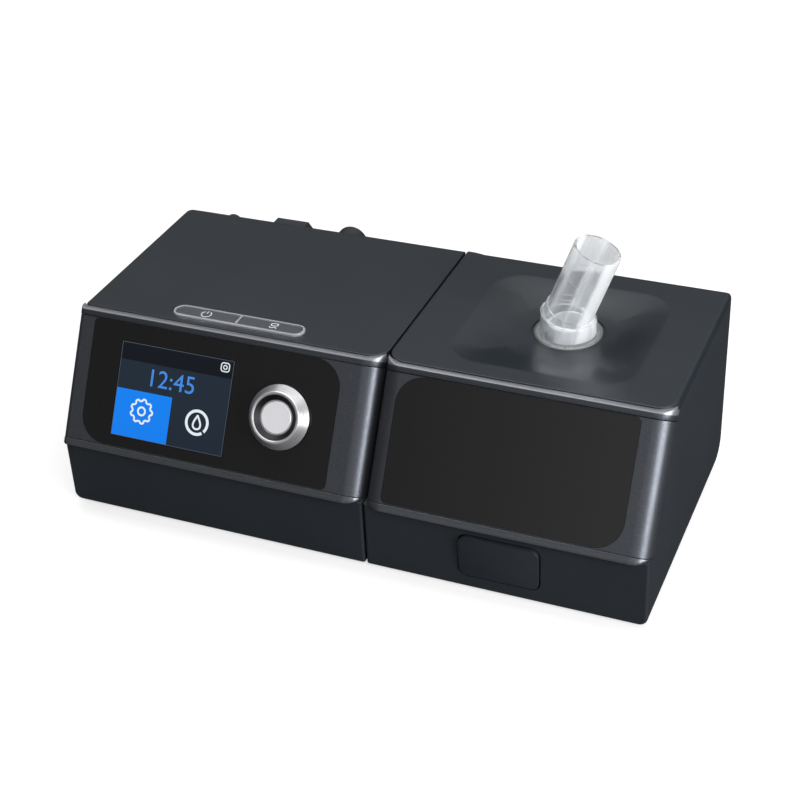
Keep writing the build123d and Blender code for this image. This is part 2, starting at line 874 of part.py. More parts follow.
# Rotary encoder with its bushing
knob_centre = front_face.from_local_coords((knob_x, -knob_down, 0))
knob_out = front_face.z_dir
knob_axis = Axis(knob_centre, knob_out)
knob_section = Plane(origin=knob_centre, x_dir=(1, 0, 0), z_dir=Vector(1, 0, 0).cross(knob_out))
plunger_top = -front_wall - encoder_height / 2
with BuildPart() as encoder_body:
    with BuildSketch(front_face.offset(-board_depth)):
        with Locations((knob_x, -knob_down)):
            RectangleRounded(encoder_size, encoder_size, 0.8)
    extrude(amount=encoder_height)
    with BuildSketch(front_face.offset(-front_wall)):
        with Locations((knob_x, -knob_down)):
            Circle(bushing_radius)
    extrude(amount=front_wall + 0.6)
    with BuildSketch(front_face.offset(plunger_top - plunger_height - knob_travel - air_gap)):
        with Locations((knob_x, -knob_down)):
            Circle(shaft_radius + running_fit)
    extrude(amount=front_wall + encoder_height, mode=Mode.SUBTRACT)
save(encoder_body, "encoder_body")
with BuildPart() as encoder_plunger:
    with BuildSketch(front_face.offset(plunger_top - plunger_height)):
        with Locations((knob_x, -knob_down)):
            Circle(shaft_radius)
    extrude(amount=plunger_height)
save(encoder_plunger, "encoder_plunger")

# Control knob: a brushed cone with a sunk face, turned as one section
knob_web_low = knob_lift + 1.5
knob_web_high = knob_web_low + knob_web
with BuildPart() as knob:
    with BuildSketch(knob_section):
        with BuildLine():
            Polyline(
                (shaft_radius, knob_lift + knob_hub_gap),
                (shaft_radius + knob_hub_wall, knob_lift + knob_hub_gap),
                (shaft_radius + knob_hub_wall, knob_web_low),
                (knob_base_radius - knob_wall, knob_web_low),
                (knob_base_radius - knob_wall, knob_lift),
                (knob_base_radius - knob_edge, knob_lift),
                (knob_base_radius, knob_lift + knob_edge),
                (knob_rim_radius + 0.2, knob_height - 0.2),
                (knob_rim_radius - 0.1, knob_height),
                (knob_rim_radius - 0.8, knob_height),
                (knob_cap_radius + 2 * knob_edge, knob_height - knob_cap_recess - 0.4),
                (knob_cap_radius + 2 * knob_edge, knob_web_high),
                (shaft_radius, knob_web_high),
                close=True,
            )
        make_face()
    revolve(axis=knob_axis)
save(knob, "knob")
with BuildPart() as encoder_shaft:
    with BuildSketch(front_face.offset(plunger_top)):
        with Locations((knob_x, -knob_down)):
            Circle(shaft_radius)
    extrude(amount=knob_web_high - plunger_top)
save(encoder_shaft, "encoder_shaft")
with BuildPart() as knob_cap:
    with BuildSketch(front_face.offset(knob_web_high)):
        with Locations((knob_x, -knob_down)):
            Circle(knob_cap_radius)
    extrude(amount=knob_height - knob_cap_recess - knob_web_high)
    fillet(knob_cap.edges().group_by(slope_out)[-1], 0.3)
save(knob_cap, "knob_cap")

# Button bar: the clear surround with its divider, and a button each side of it
with BuildPart() as button_surround:
    with BuildSketch(Plane.XY.offset(cover_z)):
        with Locations((button_bar_x, button_bar_y)):
            SlotOverall(button_bar_length, button_bar_width)
            SlotOverall(
                button_bar_length - 2 * button_ring_wall,
                button_bar_width - 2 * button_ring_wall,
                mode=Mode.SUBTRACT,
            )
            Rectangle(divider_width, button_bar_width - button_ring_wall)
    extrude(amount=cover_thickness + button_ring_proud)
    fillet(button_surround.faces().sort_by(Axis.Z)[-1].outer_wire().edges(), 0.4)
save(button_surround, "button_surround")


def button(side):
    """One half of the button bar, with the flange that keeps it under the surround."""
    length = button_bar_length - 2 * button_ring_wall - 2 * button_play
    width = button_bar_width - 2 * button_ring_wall - 2 * button_play
    with BuildPart() as half:
        with BuildSketch(Plane.XY.offset(button_flange_low)):
            with Locations((button_bar_x, button_bar_y)):
                SlotOverall(length, width)
            with Locations((button_bar_x + side * length, button_bar_y)):
                Rectangle(2 * length - divider_width - 2 * button_play, width, mode=Mode.INTERSECT)
        extrude(amount=body_height + button_ring_proud - button_rounding - button_flange_low)
        fillet(half.faces().sort_by(Axis.Z)[-1].edges(), button_rounding)
        with BuildSketch(Plane.XY.offset(button_flange_low)):
            with Locations((button_bar_x, button_bar_y)):
                SlotOverall(length + 2 * button_flange_width, width + 2 * button_flange_width)
            with Locations((button_bar_x + side * length, button_bar_y)):
                Rectangle(
                    2 * length - divider_width - 2 * button_play,
                    width + 2 * button_flange_width,
                    mode=Mode.INTERSECT,
                )
        extrude(amount=button_flange)
    return half


power_button = button(-1)
save(power_button, "power_button")
ramp_button = button(1)
save(ramp_button, "ramp_button")

# Button board with two tactile switches
with BuildPart() as button_board:
    with BuildSketch(Plane.XY.offset(button_board_high)):
        with Locations((button_bar_x, button_bar_y)):
            RectangleRounded(button_board_length, button_board_width, board_corner_radius)
    extrude(amount=-board_thickness)
    with BuildSketch(Plane.XY.offset(button_board_high)):
        with Locations((button_bar_x, button_bar_y)):
            with GridLocations(button_bar_length / 2, 0, 2, 1):
                Rectangle(switch_size, switch_size)
    extrude(amount=switch_height)
    with BuildSketch(Plane.XY.offset(switch_top - switch_stem)):
        with Locations((button_bar_x, button_bar_y)):
            with GridLocations(button_bar_length / 2, 0, 2, 1):
                Circle(switch_stem_radius)
    extrude(amount=switch_stem)
save(button_board, "button_board")

# Main circuit board with its taller parts
with BuildPart() as main_board:
    with BuildSketch(Plane.XY.offset(main_board_z)):
        with Locations(
            ((main_board_left + main_board_right) / 2, (main_board_low + main_board_high) / 2)
        ):
            RectangleRounded(
                main_board_right - main_board_left, main_board_high - main_board_low, board_corner_radius
            )
    extrude(amount=board_thickness)
    with BuildSketch(Plane.XY.offset(main_board_z + board_thickness)):
        with Locations(((main_board_left + main_board_right) / 2, main_board_high - capacitor_inset)):
            with GridLocations(capacitor_spread, 0, 2, 1):
                Circle(capacitor_radius)
    extrude(amount=capacitor_height)
    with BuildSketch(Plane.XY.offset(main_board_z + board_thickness)):
        with Locations(((main_board_left + main_board_right) / 2, main_chip_y)):
            with GridLocations(0, main_chip_spread, 1, 2):
                Rectangle(main_chip_size, main_chip_size)
    extrude(amount=main_chip_height)
    with BuildSketch(Plane.XY.offset(main_board_z + board_thickness)):
        with Locations(((main_board_left + main_board_right) / 2, main_board_low + main_plug_inset)):
            Rectangle(main_plug_length, main_plug_width)
    extrude(amount=main_plug_height)
save(main_board, "main_board")


def blower_half(outer_low, inner_low, outer_high, inner_high):
    """Half of the blower housing between two heights, with its half of the outlet duct."""
    with BuildPart() as half:
        with BuildSketch(Plane.XY.offset(outer_low)):
            with Locations((blower_x, blower_y)):
                Circle(volute_radius)
        extrude(amount=outer_high - outer_low)
        with BuildSketch(Plane.YZ.offset(blower_x)):
            with Locations((port_y, port_z)):
                Circle(port_radius)
            with Locations((port_y, (outer_low + outer_high) / 2)):
                Rectangle(3 * port_radius, outer_high - outer_low, mode=Mode.INTERSECT)
        extrude(amount=duct_end - blower_x)
        with BuildSketch(Plane.XY.offset(inner_low)):
            with Locations((blower_x, blower_y)):
                Circle(volute_radius - volute_wall)
        extrude(amount=inner_high - inner_low, mode=Mode.SUBTRACT)
        with BuildSketch(Plane.YZ.offset(blower_x)):
            with Locations((port_y, port_z)):
                Circle(port_bore)
        extrude(amount=duct_end - blower_x + 1, mode=Mode.SUBTRACT)
    return half


# Blower: two housing halves that meet on the duct's centre plane
lower_half = blower_half(blower_floor_z, blower_floor_z + volute_wall, port_z, port_z + 1)
with BuildPart() as blower_lower:
    add(lower_half.part)
    with BuildSketch(Plane.XY.offset(blower_floor_z)):
        with Locations((blower_x, blower_y)):
            with PolarLocations(mount_circle, 3, 90):
                Circle(mount_lug_radius)
            with PolarLocations((mount_circle + volute_radius) / 2 - 1, 3, 90):
                Rectangle(mount_circle - volute_radius + 3, mount_lug_width)
    extrude(amount=mount_lug_thickness)
    with BuildSketch(Plane.XY.offset(blower_floor_z - 1)):
        with Locations((blower_x, blower_y)):
            Circle(motor_shaft_radius + 0.5)
    extrude(amount=volute_wall + 2, mode=Mode.SUBTRACT)
save(blower_lower, "blower_lower")
upper_half = blower_half(port_z, port_z - 1, blower_lid_z, blower_lid_z - volute_wall)
with BuildPart() as blower_upper:
    add(upper_half.part)
    with BuildSketch(Plane.XY.offset(blower_lid_z)):
        with Locations((blower_x, blower_y)):
            Circle(inlet_radius + inlet_lip)
    extrude(amount=inlet_lip)
    with BuildSketch(Plane.XY.offset(blower_lid_z - volute_wall - 1)):
        with Locations((blower_x, blower_y)):
            Circle(inlet_radius)
    extrude(amount=volute_wall + 4, mode=Mode.SUBTRACT)
    inlet_edge = blower_upper.edges().filter_by(GeomType.CIRCLE).group_by(Axis.Z)[-1]
    fillet(inlet_edge.sort_by(SortBy.RADIUS)[0], 0.6 * inlet_lip)
save(blower_upper, "blower_upper")
with BuildPart() as blower_motor:
    with BuildSketch(Plane.XY.offset(blower_floor_z)):
        with Locations((blower_x, blower_y)):
            Circle(motor_radius)
            Circle(motor_shaft_radius + running_fit, mode=Mode.SUBTRACT)
    extrude(amount=-motor_height + motor_cap)
    with BuildSketch(Plane.XY.offset(blower_floor_z - motor_height)):
        with Locations((blower_x, blower_y)):
            Circle(motor_radius)
    extrude(amount=motor_cap)
    fillet(blower_motor.faces().sort_by(Axis.Z)[0].edges(), motor_edge_radius)
save(blower_motor, "blower_motor")
with BuildPart() as blower_mounts:
    with Locations((blower_x, blower_y, blower_floor_z - mount_height / 2)):
        with PolarLocations(mount_circle, 3, 90):
            Cylinder(mount_neck_radius, mount_height)
    with Locations(
        (blower_x, blower_y, blower_floor_z - mount_rim / 2),
        (blower_x, blower_y, blower_floor_z - mount_height + mount_rim / 2),
    ):
        with PolarLocations(mount_circle, 3, 90):
            Cylinder(mount_lug_radius, mount_rim)
save(blower_mounts, "blower_mounts")

# Impeller: back plate, hub and backward-curved blades
impeller_z = blower_floor_z + volute_wall + 1.2
shaft_low = blower_floor_z - motor_height + motor_cap + air_gap
with BuildPart() as impeller:
    with BuildSketch(Plane.XY.offset(impeller_z)):
        with Locations((blower_x, blower_y)):
            Circle(impeller_radius)
    extrude(amount=impeller_plate)
    with BuildSketch(Plane.XY.offset(impeller_z)):
        with Locations((blower_x, blower_y)):
            Circle(impeller_hub_radius)
    extrude(amount=impeller_hub_height)
    with BuildSketch(Plane(origin=(blower_x, blower_y, impeller_z))):
        with BuildSketch(mode=Mode.PRIVATE) as blade:
            with BuildLine():
                spine = ThreePointArc(blade_start, blade_middle, blade_end)
                offset(spine, amount=blade_thickness / 2, side=Side.BOTH)
            make_face()
        with PolarLocations(0, impeller_blades):
            add(blade.sketch)
    extrude(amount=impeller_height)
    with BuildSketch(Plane.XY.offset(impeller_z)):
        with Locations((blower_x, blower_y)):
            Circle(motor_shaft_radius)
    extrude(amount=impeller_hub_height - 1, mode=Mode.SUBTRACT)
save(impeller, "impeller")
with BuildPart() as motor_shaft:
    with BuildSketch(Plane.XY.offset(shaft_low)):
        with Locations((blower_x, blower_y)):
            Circle(motor_shaft_radius)
    extrude(amount=impeller_z + impeller_hub_height - 1 - shaft_low)
save(motor_shaft, "motor_shaft")

# Air path out of the unit: rubber boot and nozzle
with BuildPart() as duct_boot:
    with BuildSketch(Plane.YZ.offset(duct_end)):
        with Locations((port_y, port_z)):
            Circle(port_radius + 2)
            Circle(port_radius, mode=Mode.SUBTRACT)
    extrude(amount=5, both=True)
save(duct_boot, "duct_boot")
with BuildPart() as air_nozzle:
    with BuildSketch(Plane.YZ.offset(duct_end)):
        with Locations((port_y, port_z)):
            Circle(port_radius)
            Circle(port_bore, mode=Mode.SUBTRACT)
    extrude(amount=humidifier_left + peg_reach - duct_end)
    with BuildSketch(Plane.YZ.offset(inner_unit_right)):
        with Locations((port_y, port_z)):
            Circle(port_radius + 3)
            Circle(port_bore, mode=Mode.SUBTRACT)
    extrude(amount=-1.5)
save(air_nozzle, "air_nozzle")

# Sound-damping foam against the outer wall
with BuildPart() as sound_foam:
    with BuildSketch(Plane.YZ.offset(inner_unit_left)):
        with Locations((foam_y, foam_z)):
            RectangleRounded(foam_length, foam_height, foam_corner_radius)
    extrude(amount=foam_thickness)
save(sound_foam, "sound_foam")

# Power inlet: a round barrel with a recess and a centre pin
with BuildPart() as power_inlet:
    with BuildSketch(Plane.XZ.offset(-back_y)):
        with Locations((power_x, power_z)):
            Circle(power_radius)
    extrude(amount=-rear_reach)
    fillet(power_inlet.faces().sort_by(Axis.Y)[-1].edges(), port_edge_radius)
    with BuildSketch(Plane.XZ.offset(-back_y)):
        with Locations((power_x, power_z)):
            Circle(power_radius - port_shoulder)
    extrude(amount=power_inner_length)
    with BuildSketch(Plane.XZ.offset(-back_y - rear_reach + power_recess_depth)):
        with Locations((power_x, power_z)):
            Circle(power_recess_radius)
            Circle(power_pin_radius, mode=Mode.SUBTRACT)
    extrude(amount=-power_recess_depth - 1, mode=Mode.SUBTRACT)
    with BuildSketch(Plane.XZ.offset(-back_y - rear_reach + power_recess_depth - power_pin_length)):
        with Locations((power_x, power_z)):
            Circle(power_recess_radius)
    extrude(amount=-power_recess_depth, mode=Mode.SUBTRACT)
save(power_inlet, "power_inlet")
with BuildPart() as data_port_cap:
    with BuildSketch(Plane.XZ.offset(-back_y)):
        with Locations((data_cap_x, data_cap_z)):
            Circle(data_cap_radius)
    extrude(amount=-data_cap_reach)
    fillet(data_port_cap.faces().sort_by(Axis.Y)[-1].edges(), cap_edge_radius)
    with BuildSketch(Plane.XZ.offset(-back_y)):
        with Locations((data_cap_x, data_cap_z)):
            Circle(data_cap_radius - port_shoulder)
    extrude(amount=wall + 2)
save(data_port_cap, "data_port_cap")

# Air filter and its hinged cover
with BuildPart() as air_filter:
    with BuildSketch(Plane.XZ.offset(-back_y + filter_depth)):
        with Locations((filter_x, filter_z)):
            RectangleRounded(
                filter_width - 2 * filter_margin - 2 * filter_play,
                filter_high - filter_low - 2 * filter_margin - 2 * filter_play,
                1.5,
            )
    extrude(amount=-filter_depth + 0.6)
save(air_filter, "air_filter")
with BuildPart() as filter_cover:
    with BuildSketch(Plane.XZ.offset(-back_y - joint_line)):
        with Locations((filter_x, filter_z)):
            RectangleRounded(filter_width, filter_high - filter_low, filter_cover_radius)
    extrude(amount=-filter_cover_thickness)
    fillet(filter_cover.faces().sort_by(Axis.Y)[-1].edges(), filter_cover_edge)
    with BuildSketch(Plane.XZ.offset(-back_y - joint_line)):
        with Locations((filter_x, filter_z)):
            Rectangle(filter_width - 2 * filter_margin, filter_high - filter_low - 2 * filter_margin)
    extrude(amount=-filter_cover_thickness + filter_cover_wall, mode=Mode.SUBTRACT)
    with BuildSketch(Plane.XZ.offset(-back_y)):
        with Locations((filter_x, filter_z - 2)):
            with GridLocations(0, filter_vent_pitch, 1, 7):
                SlotOverall(filter_width - 2 * filter_vent_margin, filter_vent_width)
    extrude(amount=-filter_cover_thickness - 2, mode=Mode.SUBTRACT)
    # Finger tab at the top, with sloping ends
    with BuildSketch(Plane.XZ.offset(-back_y - joint_line)):
        with BuildLine():
            Polyline(
                (filter_x - filter_tab_width / 2 - filter_tab_slant, filter_high - 4),
                (filter_x - filter_tab_width / 2 - filter_tab_slant, filter_high + 2),
                (filter_x - filter_tab_width / 2 + filter_tab_slant, filter_tab_top),
                (filter_x + filter_tab_width / 2 - filter_tab_slant, filter_tab_top),
                (filter_x + filter_tab_width / 2 + filter_tab_slant, filter_high + 2),
                (filter_x + filter_tab_width / 2 + filter_tab_slant, filter_high - 4),
                close=True,
            )
        make_face()
    extrude(amount=-filter_tab_reach + joint_line)
    # Hinge barrel
    barrel_half = filter_width / 2 - filter_ear_width - 0.3
    with BuildSketch(Plane.YZ.offset(filter_x)):
        with Locations((filter_hinge_y, filter_hinge_z)):
            Circle(filter_barrel_radius)
        with Locations((filter_hinge_y + 0.8, filter_hinge_z + 3)):
            Rectangle(3.4, 6)
    extrude(amount=barrel_half, both=True)
    with BuildSketch(Plane.YZ.offset(filter_x)):
        with Locations((filter_hinge_y, filter_hinge_z)):
            Circle(filter_pin_radius + running_fit)
    extrude(amount=barrel_half + 1, both=True, mode=Mode.SUBTRACT)
save(filter_cover, "filter_cover")
with BuildPart() as filter_hinge_pin:
    with BuildSketch(Plane.YZ.offset(filter_x)):
        with Locations((filter_hinge_y, filter_hinge_z)):
            Circle(filter_pin_radius)
    extrude(amount=filter_width / 2 - 1, both=True)
save(filter_hinge_pin, "filter_hinge_pin")

# Dock plug, feet and screws of the flow unit
with BuildPart() as dock_plug:
    with BuildSketch(Plane.YZ.offset(inner_unit_right - dock_plug_tail)):
        with Locations((0, dock_z)):
            RectangleRounded(dock_plug_length, dock_plug_height, dock_corner_radius)
    extrude(amount=dock_plug_tail + wall + module_gap + dock_plug_reach)
    with BuildSketch(Plane.YZ.offset(inner_unit_right)):
        with Locations((0, dock_z)):
            RectangleRounded(
                dock_plug_length + 2 * dock_plug_flange,
                dock_plug_height + 2 * dock_plug_flange,
                dock_corner_radius,
            )
    extrude(amount=-dock_plug_flange)
save(dock_plug, "dock_plug")
unit_feet = feet(unit_left, unit_right)
save(unit_feet, "unit_feet")
with BuildPart() as unit_screws:
    with BuildSketch(Plane.XY.offset(boss_top - screw_seat - screw_head_height)):
        with Locations(*screw_places):
            Circle(screw_head_radius)
    extrude(amount=screw_head_height)
    with BuildSketch(Plane.XY.offset(boss_top - screw_seat)):
        with Locations(*screw_places):
            Circle(screw_radius)
    extrude(amount=screw_seat + screw_bite)
save(unit_screws, "unit_screws")


# Humidifier housing: tub bay above, heater chamber below
humidifier_blank = shell_blank(humidifier_left, humidifier_right, 1)
humidifier_steps = cut_top_steps(humidifier_left, humidifier_right, 1)
with BuildPart() as humidifier_base:
    add(humidifier_blank.part)
    with BuildSketch(Plane.YZ.offset(inner_humidifier_left)):
        with Locations(((chin_y - 20 + back_y - wall) / 2, (bay_floor_z + body_height + 5) / 2)):
            Rectangle(back_y - wall - chin_y + 20, body_height + 5 - bay_floor_z)
    extrude(amount=inner_humidifier_right - inner_humidifier_left, mode=Mode.SUBTRACT)
    with BuildSketch(Plane.YZ.offset(inner_humidifier_left)) as chamber:
        with Locations(((chin_y + back_y) / 2, (floor_z + mid_floor_low) / 2)):
            Rectangle(back_y - chin_y - 2 * wall, mid_floor_low - floor_z)
        heel = chamber.vertices().group_by(Axis.X)[-1].sort_by(Axis.Y)[0]
        fillet(heel, heel_radius - wall)
    extrude(amount=inner_humidifier_right - inner_humidifier_left, mode=Mode.SUBTRACT)
    with BuildSketch(Plane.XY.offset(base_z - 1)):
        with Locations((humidifier_mid, (chin_y + wall + back_y - heel_radius - 1) / 2)):
            Rectangle(
                inner_humidifier_right - inner_humidifier_left, back_y - heel_radius - 1 - chin_y - wall
            )
    extrude(amount=wall + 2, mode=Mode.SUBTRACT)
    add(humidifier_steps.part, mode=Mode.SUBTRACT)
    # Ledge under the cover's outer edge, and the drawer's rails on both side walls
    with BuildSketch(Plane.XY.offset(cover_z)):
        with Locations((inner_humidifier_right - ledge_width / 2 + 0.5, ring_y)):
            Rectangle(ledge_width + 1, ledge_length)
    extrude(amount=-ledge_height)
    rail_front = slope_y(rail_low, front_depth + 4)
    with BuildSketch(Plane.XY.offset(rail_low)):
        with Locations((humidifier_mid, (rail_front + back_y - wall + 0.5) / 2)):
            Rectangle(
                inner_humidifier_right - inner_humidifier_left + 1, back_y - wall + 0.5 - rail_front
            )
            Rectangle(
                inner_humidifier_right - inner_humidifier_left - 2 * rail_width,
                back_y - rail_front + 5,
                mode=Mode.SUBTRACT,
            )
    extrude(amount=rail_high - rail_low)
    # Bosses for the bottom screws
    with BuildSketch(Plane.XY.offset(pad_height)):
        with Locations(*bottom_screws):
            Circle(boss_radius)
    extrude(amount=mid_floor_low - pad_height + 0.5)
    with BuildSketch(Plane.XY.offset(pad_height - 1)):
        with Locations(*bottom_screws):
            Circle(screw_radius)
    extrude(amount=screw_bite + 2, mode=Mode.SUBTRACT)
    # Ears of the latch pin behind the chin
    with BuildSketch(Plane.YZ.offset(latch_x - latch_width / 2 - 1 - latch_ear_width)):
        with Locations(((chin_y + wall + latch_pivot_y) / 2, latch_pivot_z)):
            Rectangle(latch_pivot_y - chin_y - wall + 1, 2 * latch_barrel_radius)
        with Locations((latch_pivot_y, latch_pivot_z)):
            Circle(latch_barrel_radius)
    extrude(amount=latch_width + 2 + 2 * latch_ear_width)
    with BuildSketch(Plane.YZ.offset(latch_x - latch_width / 2 - 1)):
        with Locations((chin_y + wall + 6, latch_pivot_z)):
            Rectangle(12, 2 * latch_barrel_radius + 2)
    extrude(amount=latch_width + 2, mode=Mode.SUBTRACT)
    with BuildSketch(Plane.YZ.offset(latch_x - latch_width / 2 - latch_ear_width)):
        with Locations((latch_pivot_y, latch_pivot_z)):
            Circle(latch_pin_radius)
    extrude(amount=latch_width + 2 * latch_ear_width, mode=Mode.SUBTRACT)
    # Window of the latch in the chin, slot of its hook and hole of the heater in the bay floor
    with BuildSketch(Plane.XZ.offset(-chin_y + 1)):
        with Locations((latch_x, (latch_low + latch_high) / 2)):
            RectangleRounded(
                latch_width + 2 * latch_play,
                latch_high - latch_low + 2 * latch_play,
                latch_corner_radius + latch_play,
            )
    extrude(amount=-wall - 2, mode=Mode.SUBTRACT)
    with BuildSketch(Plane.XY.offset(mid_floor_low - 1)):
        with Locations((latch_x, hook_y + hook_slot_length / 2 - 1.5)):
            Rectangle(hook_slot_width, hook_slot_length)
        with Locations((humidifier_mid, heater_y)):
            Circle(heater_radius + air_gap)
    extrude(amount=wall + 2, mode=Mode.SUBTRACT)
    # Holes for the air nozzle's gasket, the docking pegs and the dock plug
    with BuildSketch(Plane.YZ.offset(humidifier_left - 1)):
        with Locations((port_y, port_z)):
            Circle(port_radius + 2)
        with Locations((0, dock_z)):
            Rectangle(dock_plug_length + 0.6, dock_plug_height + 0.6)
            with GridLocations(peg_spread, 0, 2, 1):
                Circle(peg_radius + peg_fit)
    extrude(amount=wall + 2, mode=Mode.SUBTRACT)
save(humidifier_base, "humidifier_base")

# Bottom plate of the humidifier, with screw pads and the supports of the heater springs and board
bottom_length = back_y - heel_radius - 1 - chin_y - wall - 0.4
with BuildPart() as humidifier_bottom:
    with BuildSketch(Plane.XY.offset(base_z)):
        with Locations((humidifier_mid, chin_y + wall + 0.2 + bottom_length / 2)):
            Rectangle(inner_humidifier_right - inner_humidifier_left - 0.4, bottom_length)
    extrude(amount=wall)
    with BuildSketch(Plane.XY.offset(base_z + 0.5)):
        with Locations(*bottom_screws):
            Circle(boss_radius)
    extrude(amount=pad_height - base_z - 0.5)
    with BuildSketch(Plane.XY.offset(base_z + 0.5)):
        with Locations((humidifier_mid, heater_y)):
            with PolarLocations(spring_circle, 3, 90):
                Rectangle(spring_width + 2, spring_length + 3)
    extrude(amount=mid_floor_low - heater_flange_drop - spring_rise - base_z - 0.5)
    with BuildSketch(Plane.XY.offset(base_z + 0.5)):
        with Locations((inner_humidifier_left + heater_board_inset, 0)):
            with GridLocations(heater_board_post_x, heater_board_post_y, 2, 2):
                Circle(board_post_radius)
    extrude(amount=board_post_height)
    with BuildSketch(Plane.XY.offset(base_z - 1)):
        with Locations(*bottom_screws):
            Circle(screw_radius + 0.3)
    extrude(amount=pad_height + 2, mode=Mode.SUBTRACT)
    with BuildSketch(Plane.XY.offset(base_z - 1)):
        with Locations(*bottom_screws):
            Circle(screw_head_radius + 0.3)
    extrude(amount=1 + screw_head_height + 0.3, mode=Mode.SUBTRACT)
save(humidifier_bottom, "humidifier_bottom")
with BuildPart() as humidifier_screws:
    with BuildSketch(Plane.XY.offset(base_z + 0.3)):
        with Locations(*bottom_screws):
            Circle(screw_head_radius)
    extrude(amount=screw_head_height)
    with BuildSketch(Plane.XY.offset(base_z + 0.3 + screw_head_height)):
        with Locations(*bottom_screws):
            Circle(screw_radius)
    extrude(amount=pad_height + screw_bite - base_z - 0.3 - screw_head_height)
save(humidifier_screws, "humidifier_screws")
humidifier_feet = feet(humidifier_left, humidifier_right)
save(humidifier_feet, "humidifier_feet")

# Humidifier top cover with its dish and the outlet's hole
humidifier_cover_blank = cover_blank(humidifier_left, humidifier_right, drawer_cover_radii, 1)
with BuildPart() as humidifier_top_cover:
    add(humidifier_cover_blank.part)
    with BuildSketch(Plane.XY.offset(cover_z + 0.5)):
        with Locations((humidifier_mid, dish_y)):
            RectangleRounded(dish_width + 4, dish_length + 4, dish_corner_radius + 2)
    with BuildSketch(Plane.XY.offset(cover_z - dish_depth)):
        with Locations((humidifier_mid, dish_y)):
            RectangleRounded(dish_floor_width + 4, dish_floor_length + 4, dish_corner_radius + 2)
    loft()
    with BuildSketch(Plane.XY.offset(body_height)):
        with Locations((humidifier_mid, dish_y)):
            RectangleRounded(dish_width, dish_length, dish_corner_radius)
    with BuildSketch(Plane.XY.offset(body_height - dish_depth)):
        with Locations((humidifier_mid, dish_y)):
            RectangleRounded(dish_floor_width, dish_floor_length, dish_corner_radius)
    loft(mode=Mode.SUBTRACT)
    with BuildSketch(Plane.XY.offset(body_height)):
        with Locations((ring_x, ring_y)):
            Circle(collar_recess_radius)
    extrude(amount=-dish_depth - collar_recess_depth, mode=Mode.SUBTRACT)
    with BuildSketch(Plane.XY.offset(body_height)):
        with Locations((ring_x, ring_y)):
            Circle(socket_radius + 0.1)
    extrude(amount=-dish_depth - 10, mode=Mode.SUBTRACT)
save(humidifier_top_cover, "humidifier_top_cover")

# Clear outlet socket: collar, outer wall and web in one turning, and the frosted spigot in its web
outlet_axis = Axis((ring_x, ring_y, 0), (0, 0, 1))
outlet_section = Plane(origin=(ring_x, ring_y, 0), x_dir=(1, 0, 0), z_dir=(0, -1, 0))
with BuildPart() as outlet_socket:
    with BuildSketch(outlet_section):
        with BuildLine():
            Polyline(
                (spigot_flange_radius, socket_low),
                (socket_radius, socket_low),
                (socket_radius, collar_low),
                (collar_radius, collar_low),
                (collar_radius, collar_low + collar_height - 0.4),
                (collar_radius - 0.4, collar_low + collar_height),
                (elbow_skirt_radius + 0.06, collar_low + collar_height),
                (elbow_skirt_radius + 0.06, socket_web_high),
                (spigot_radius, socket_web_high),
                (spigot_radius, socket_low + spigot_flange),
                (spigot_flange_radius, socket_low + spigot_flange),
                close=True,
            )
        make_face()
    revolve(axis=outlet_axis)
save(outlet_socket, "outlet_socket")
with BuildPart() as outlet_spigot:
    with BuildSketch(outlet_section):
        with BuildLine():
            Polyline(
                (spigot_bore, socket_low),
                (spigot_flange_radius, socket_low),
                (spigot_flange_radius, socket_low + spigot_flange),
                (spigot_radius, socket_low + spigot_flange),
                (spigot_radius, spigot_top - 0.5),
                (spigot_radius - 0.5, spigot_top),
                (spigot_bore, spigot_top),
                close=True,
            )
        make_face()
    revolve(axis=outlet_axis)
save(outlet_spigot, "outlet_spigot")
with BuildPart() as outlet_gasket:
    with BuildSketch(Plane.XY.offset(socket_low)):
        with Locations((ring_x, ring_y)):
            Circle(tub_inlet_radius + 3.5)
            Circle(tub_inlet_radius - 0.2, mode=Mode.SUBTRACT)
    extrude(amount=lid_top + port_rise + air_gap - socket_low)
save(outlet_gasket, "outlet_gasket")

# Clear outlet elbow: a skirt round the spigot and a tube set at an angle, joined on a mitre
tube_direction = Vector(sin(radians(elbow_tilt)), 0, cos(radians(elbow_tilt)))
mitre_direction = Vector(sin(radians(elbow_tilt / 2)), 0, cos(radians(elbow_tilt / 2)))
bend_point = Vector(ring_x, ring_y, elbow_bend_z)
tube_plane = Plane(origin=bend_point, x_dir=(0, 1, 0), z_dir=tube_direction)
mitre_plane = Plane(origin=bend_point, x_dir=(0, 1, 0), z_dir=mitre_direction)
with BuildPart() as skirt:
    with BuildSketch(Plane.XY.offset(skirt_low)):
        with Locations((ring_x, ring_y)):
            Circle(elbow_skirt_radius)
    extrude(amount=elbow_bend_z + 6 - skirt_low)
    split(bisect_by=mitre_plane, keep=Keep.BOTTOM)
with BuildPart() as skirt_room:
    with BuildSketch(Plane.XY.offset(skirt_low - 1)):
        with Locations((ring_x, ring_y)):
            Circle(elbow_skirt_bore)
    extrude(amount=elbow_bend_z + 6 - skirt_low)
    split(bisect_by=mitre_plane.offset(-web_thickness), keep=Keep.BOTTOM)
with BuildPart() as tube:
    with BuildSketch(tube_plane.offset(-8)):
        Circle(elbow_tube_radius)
    extrude(amount=elbow_length + 8)
    with BuildSketch(tube_plane.offset(-8)):
        Circle(elbow_shoulder_radius)
    extrude(amount=elbow_shoulder + 8)
    split(bisect_by=mitre_plane, keep=Keep.TOP)
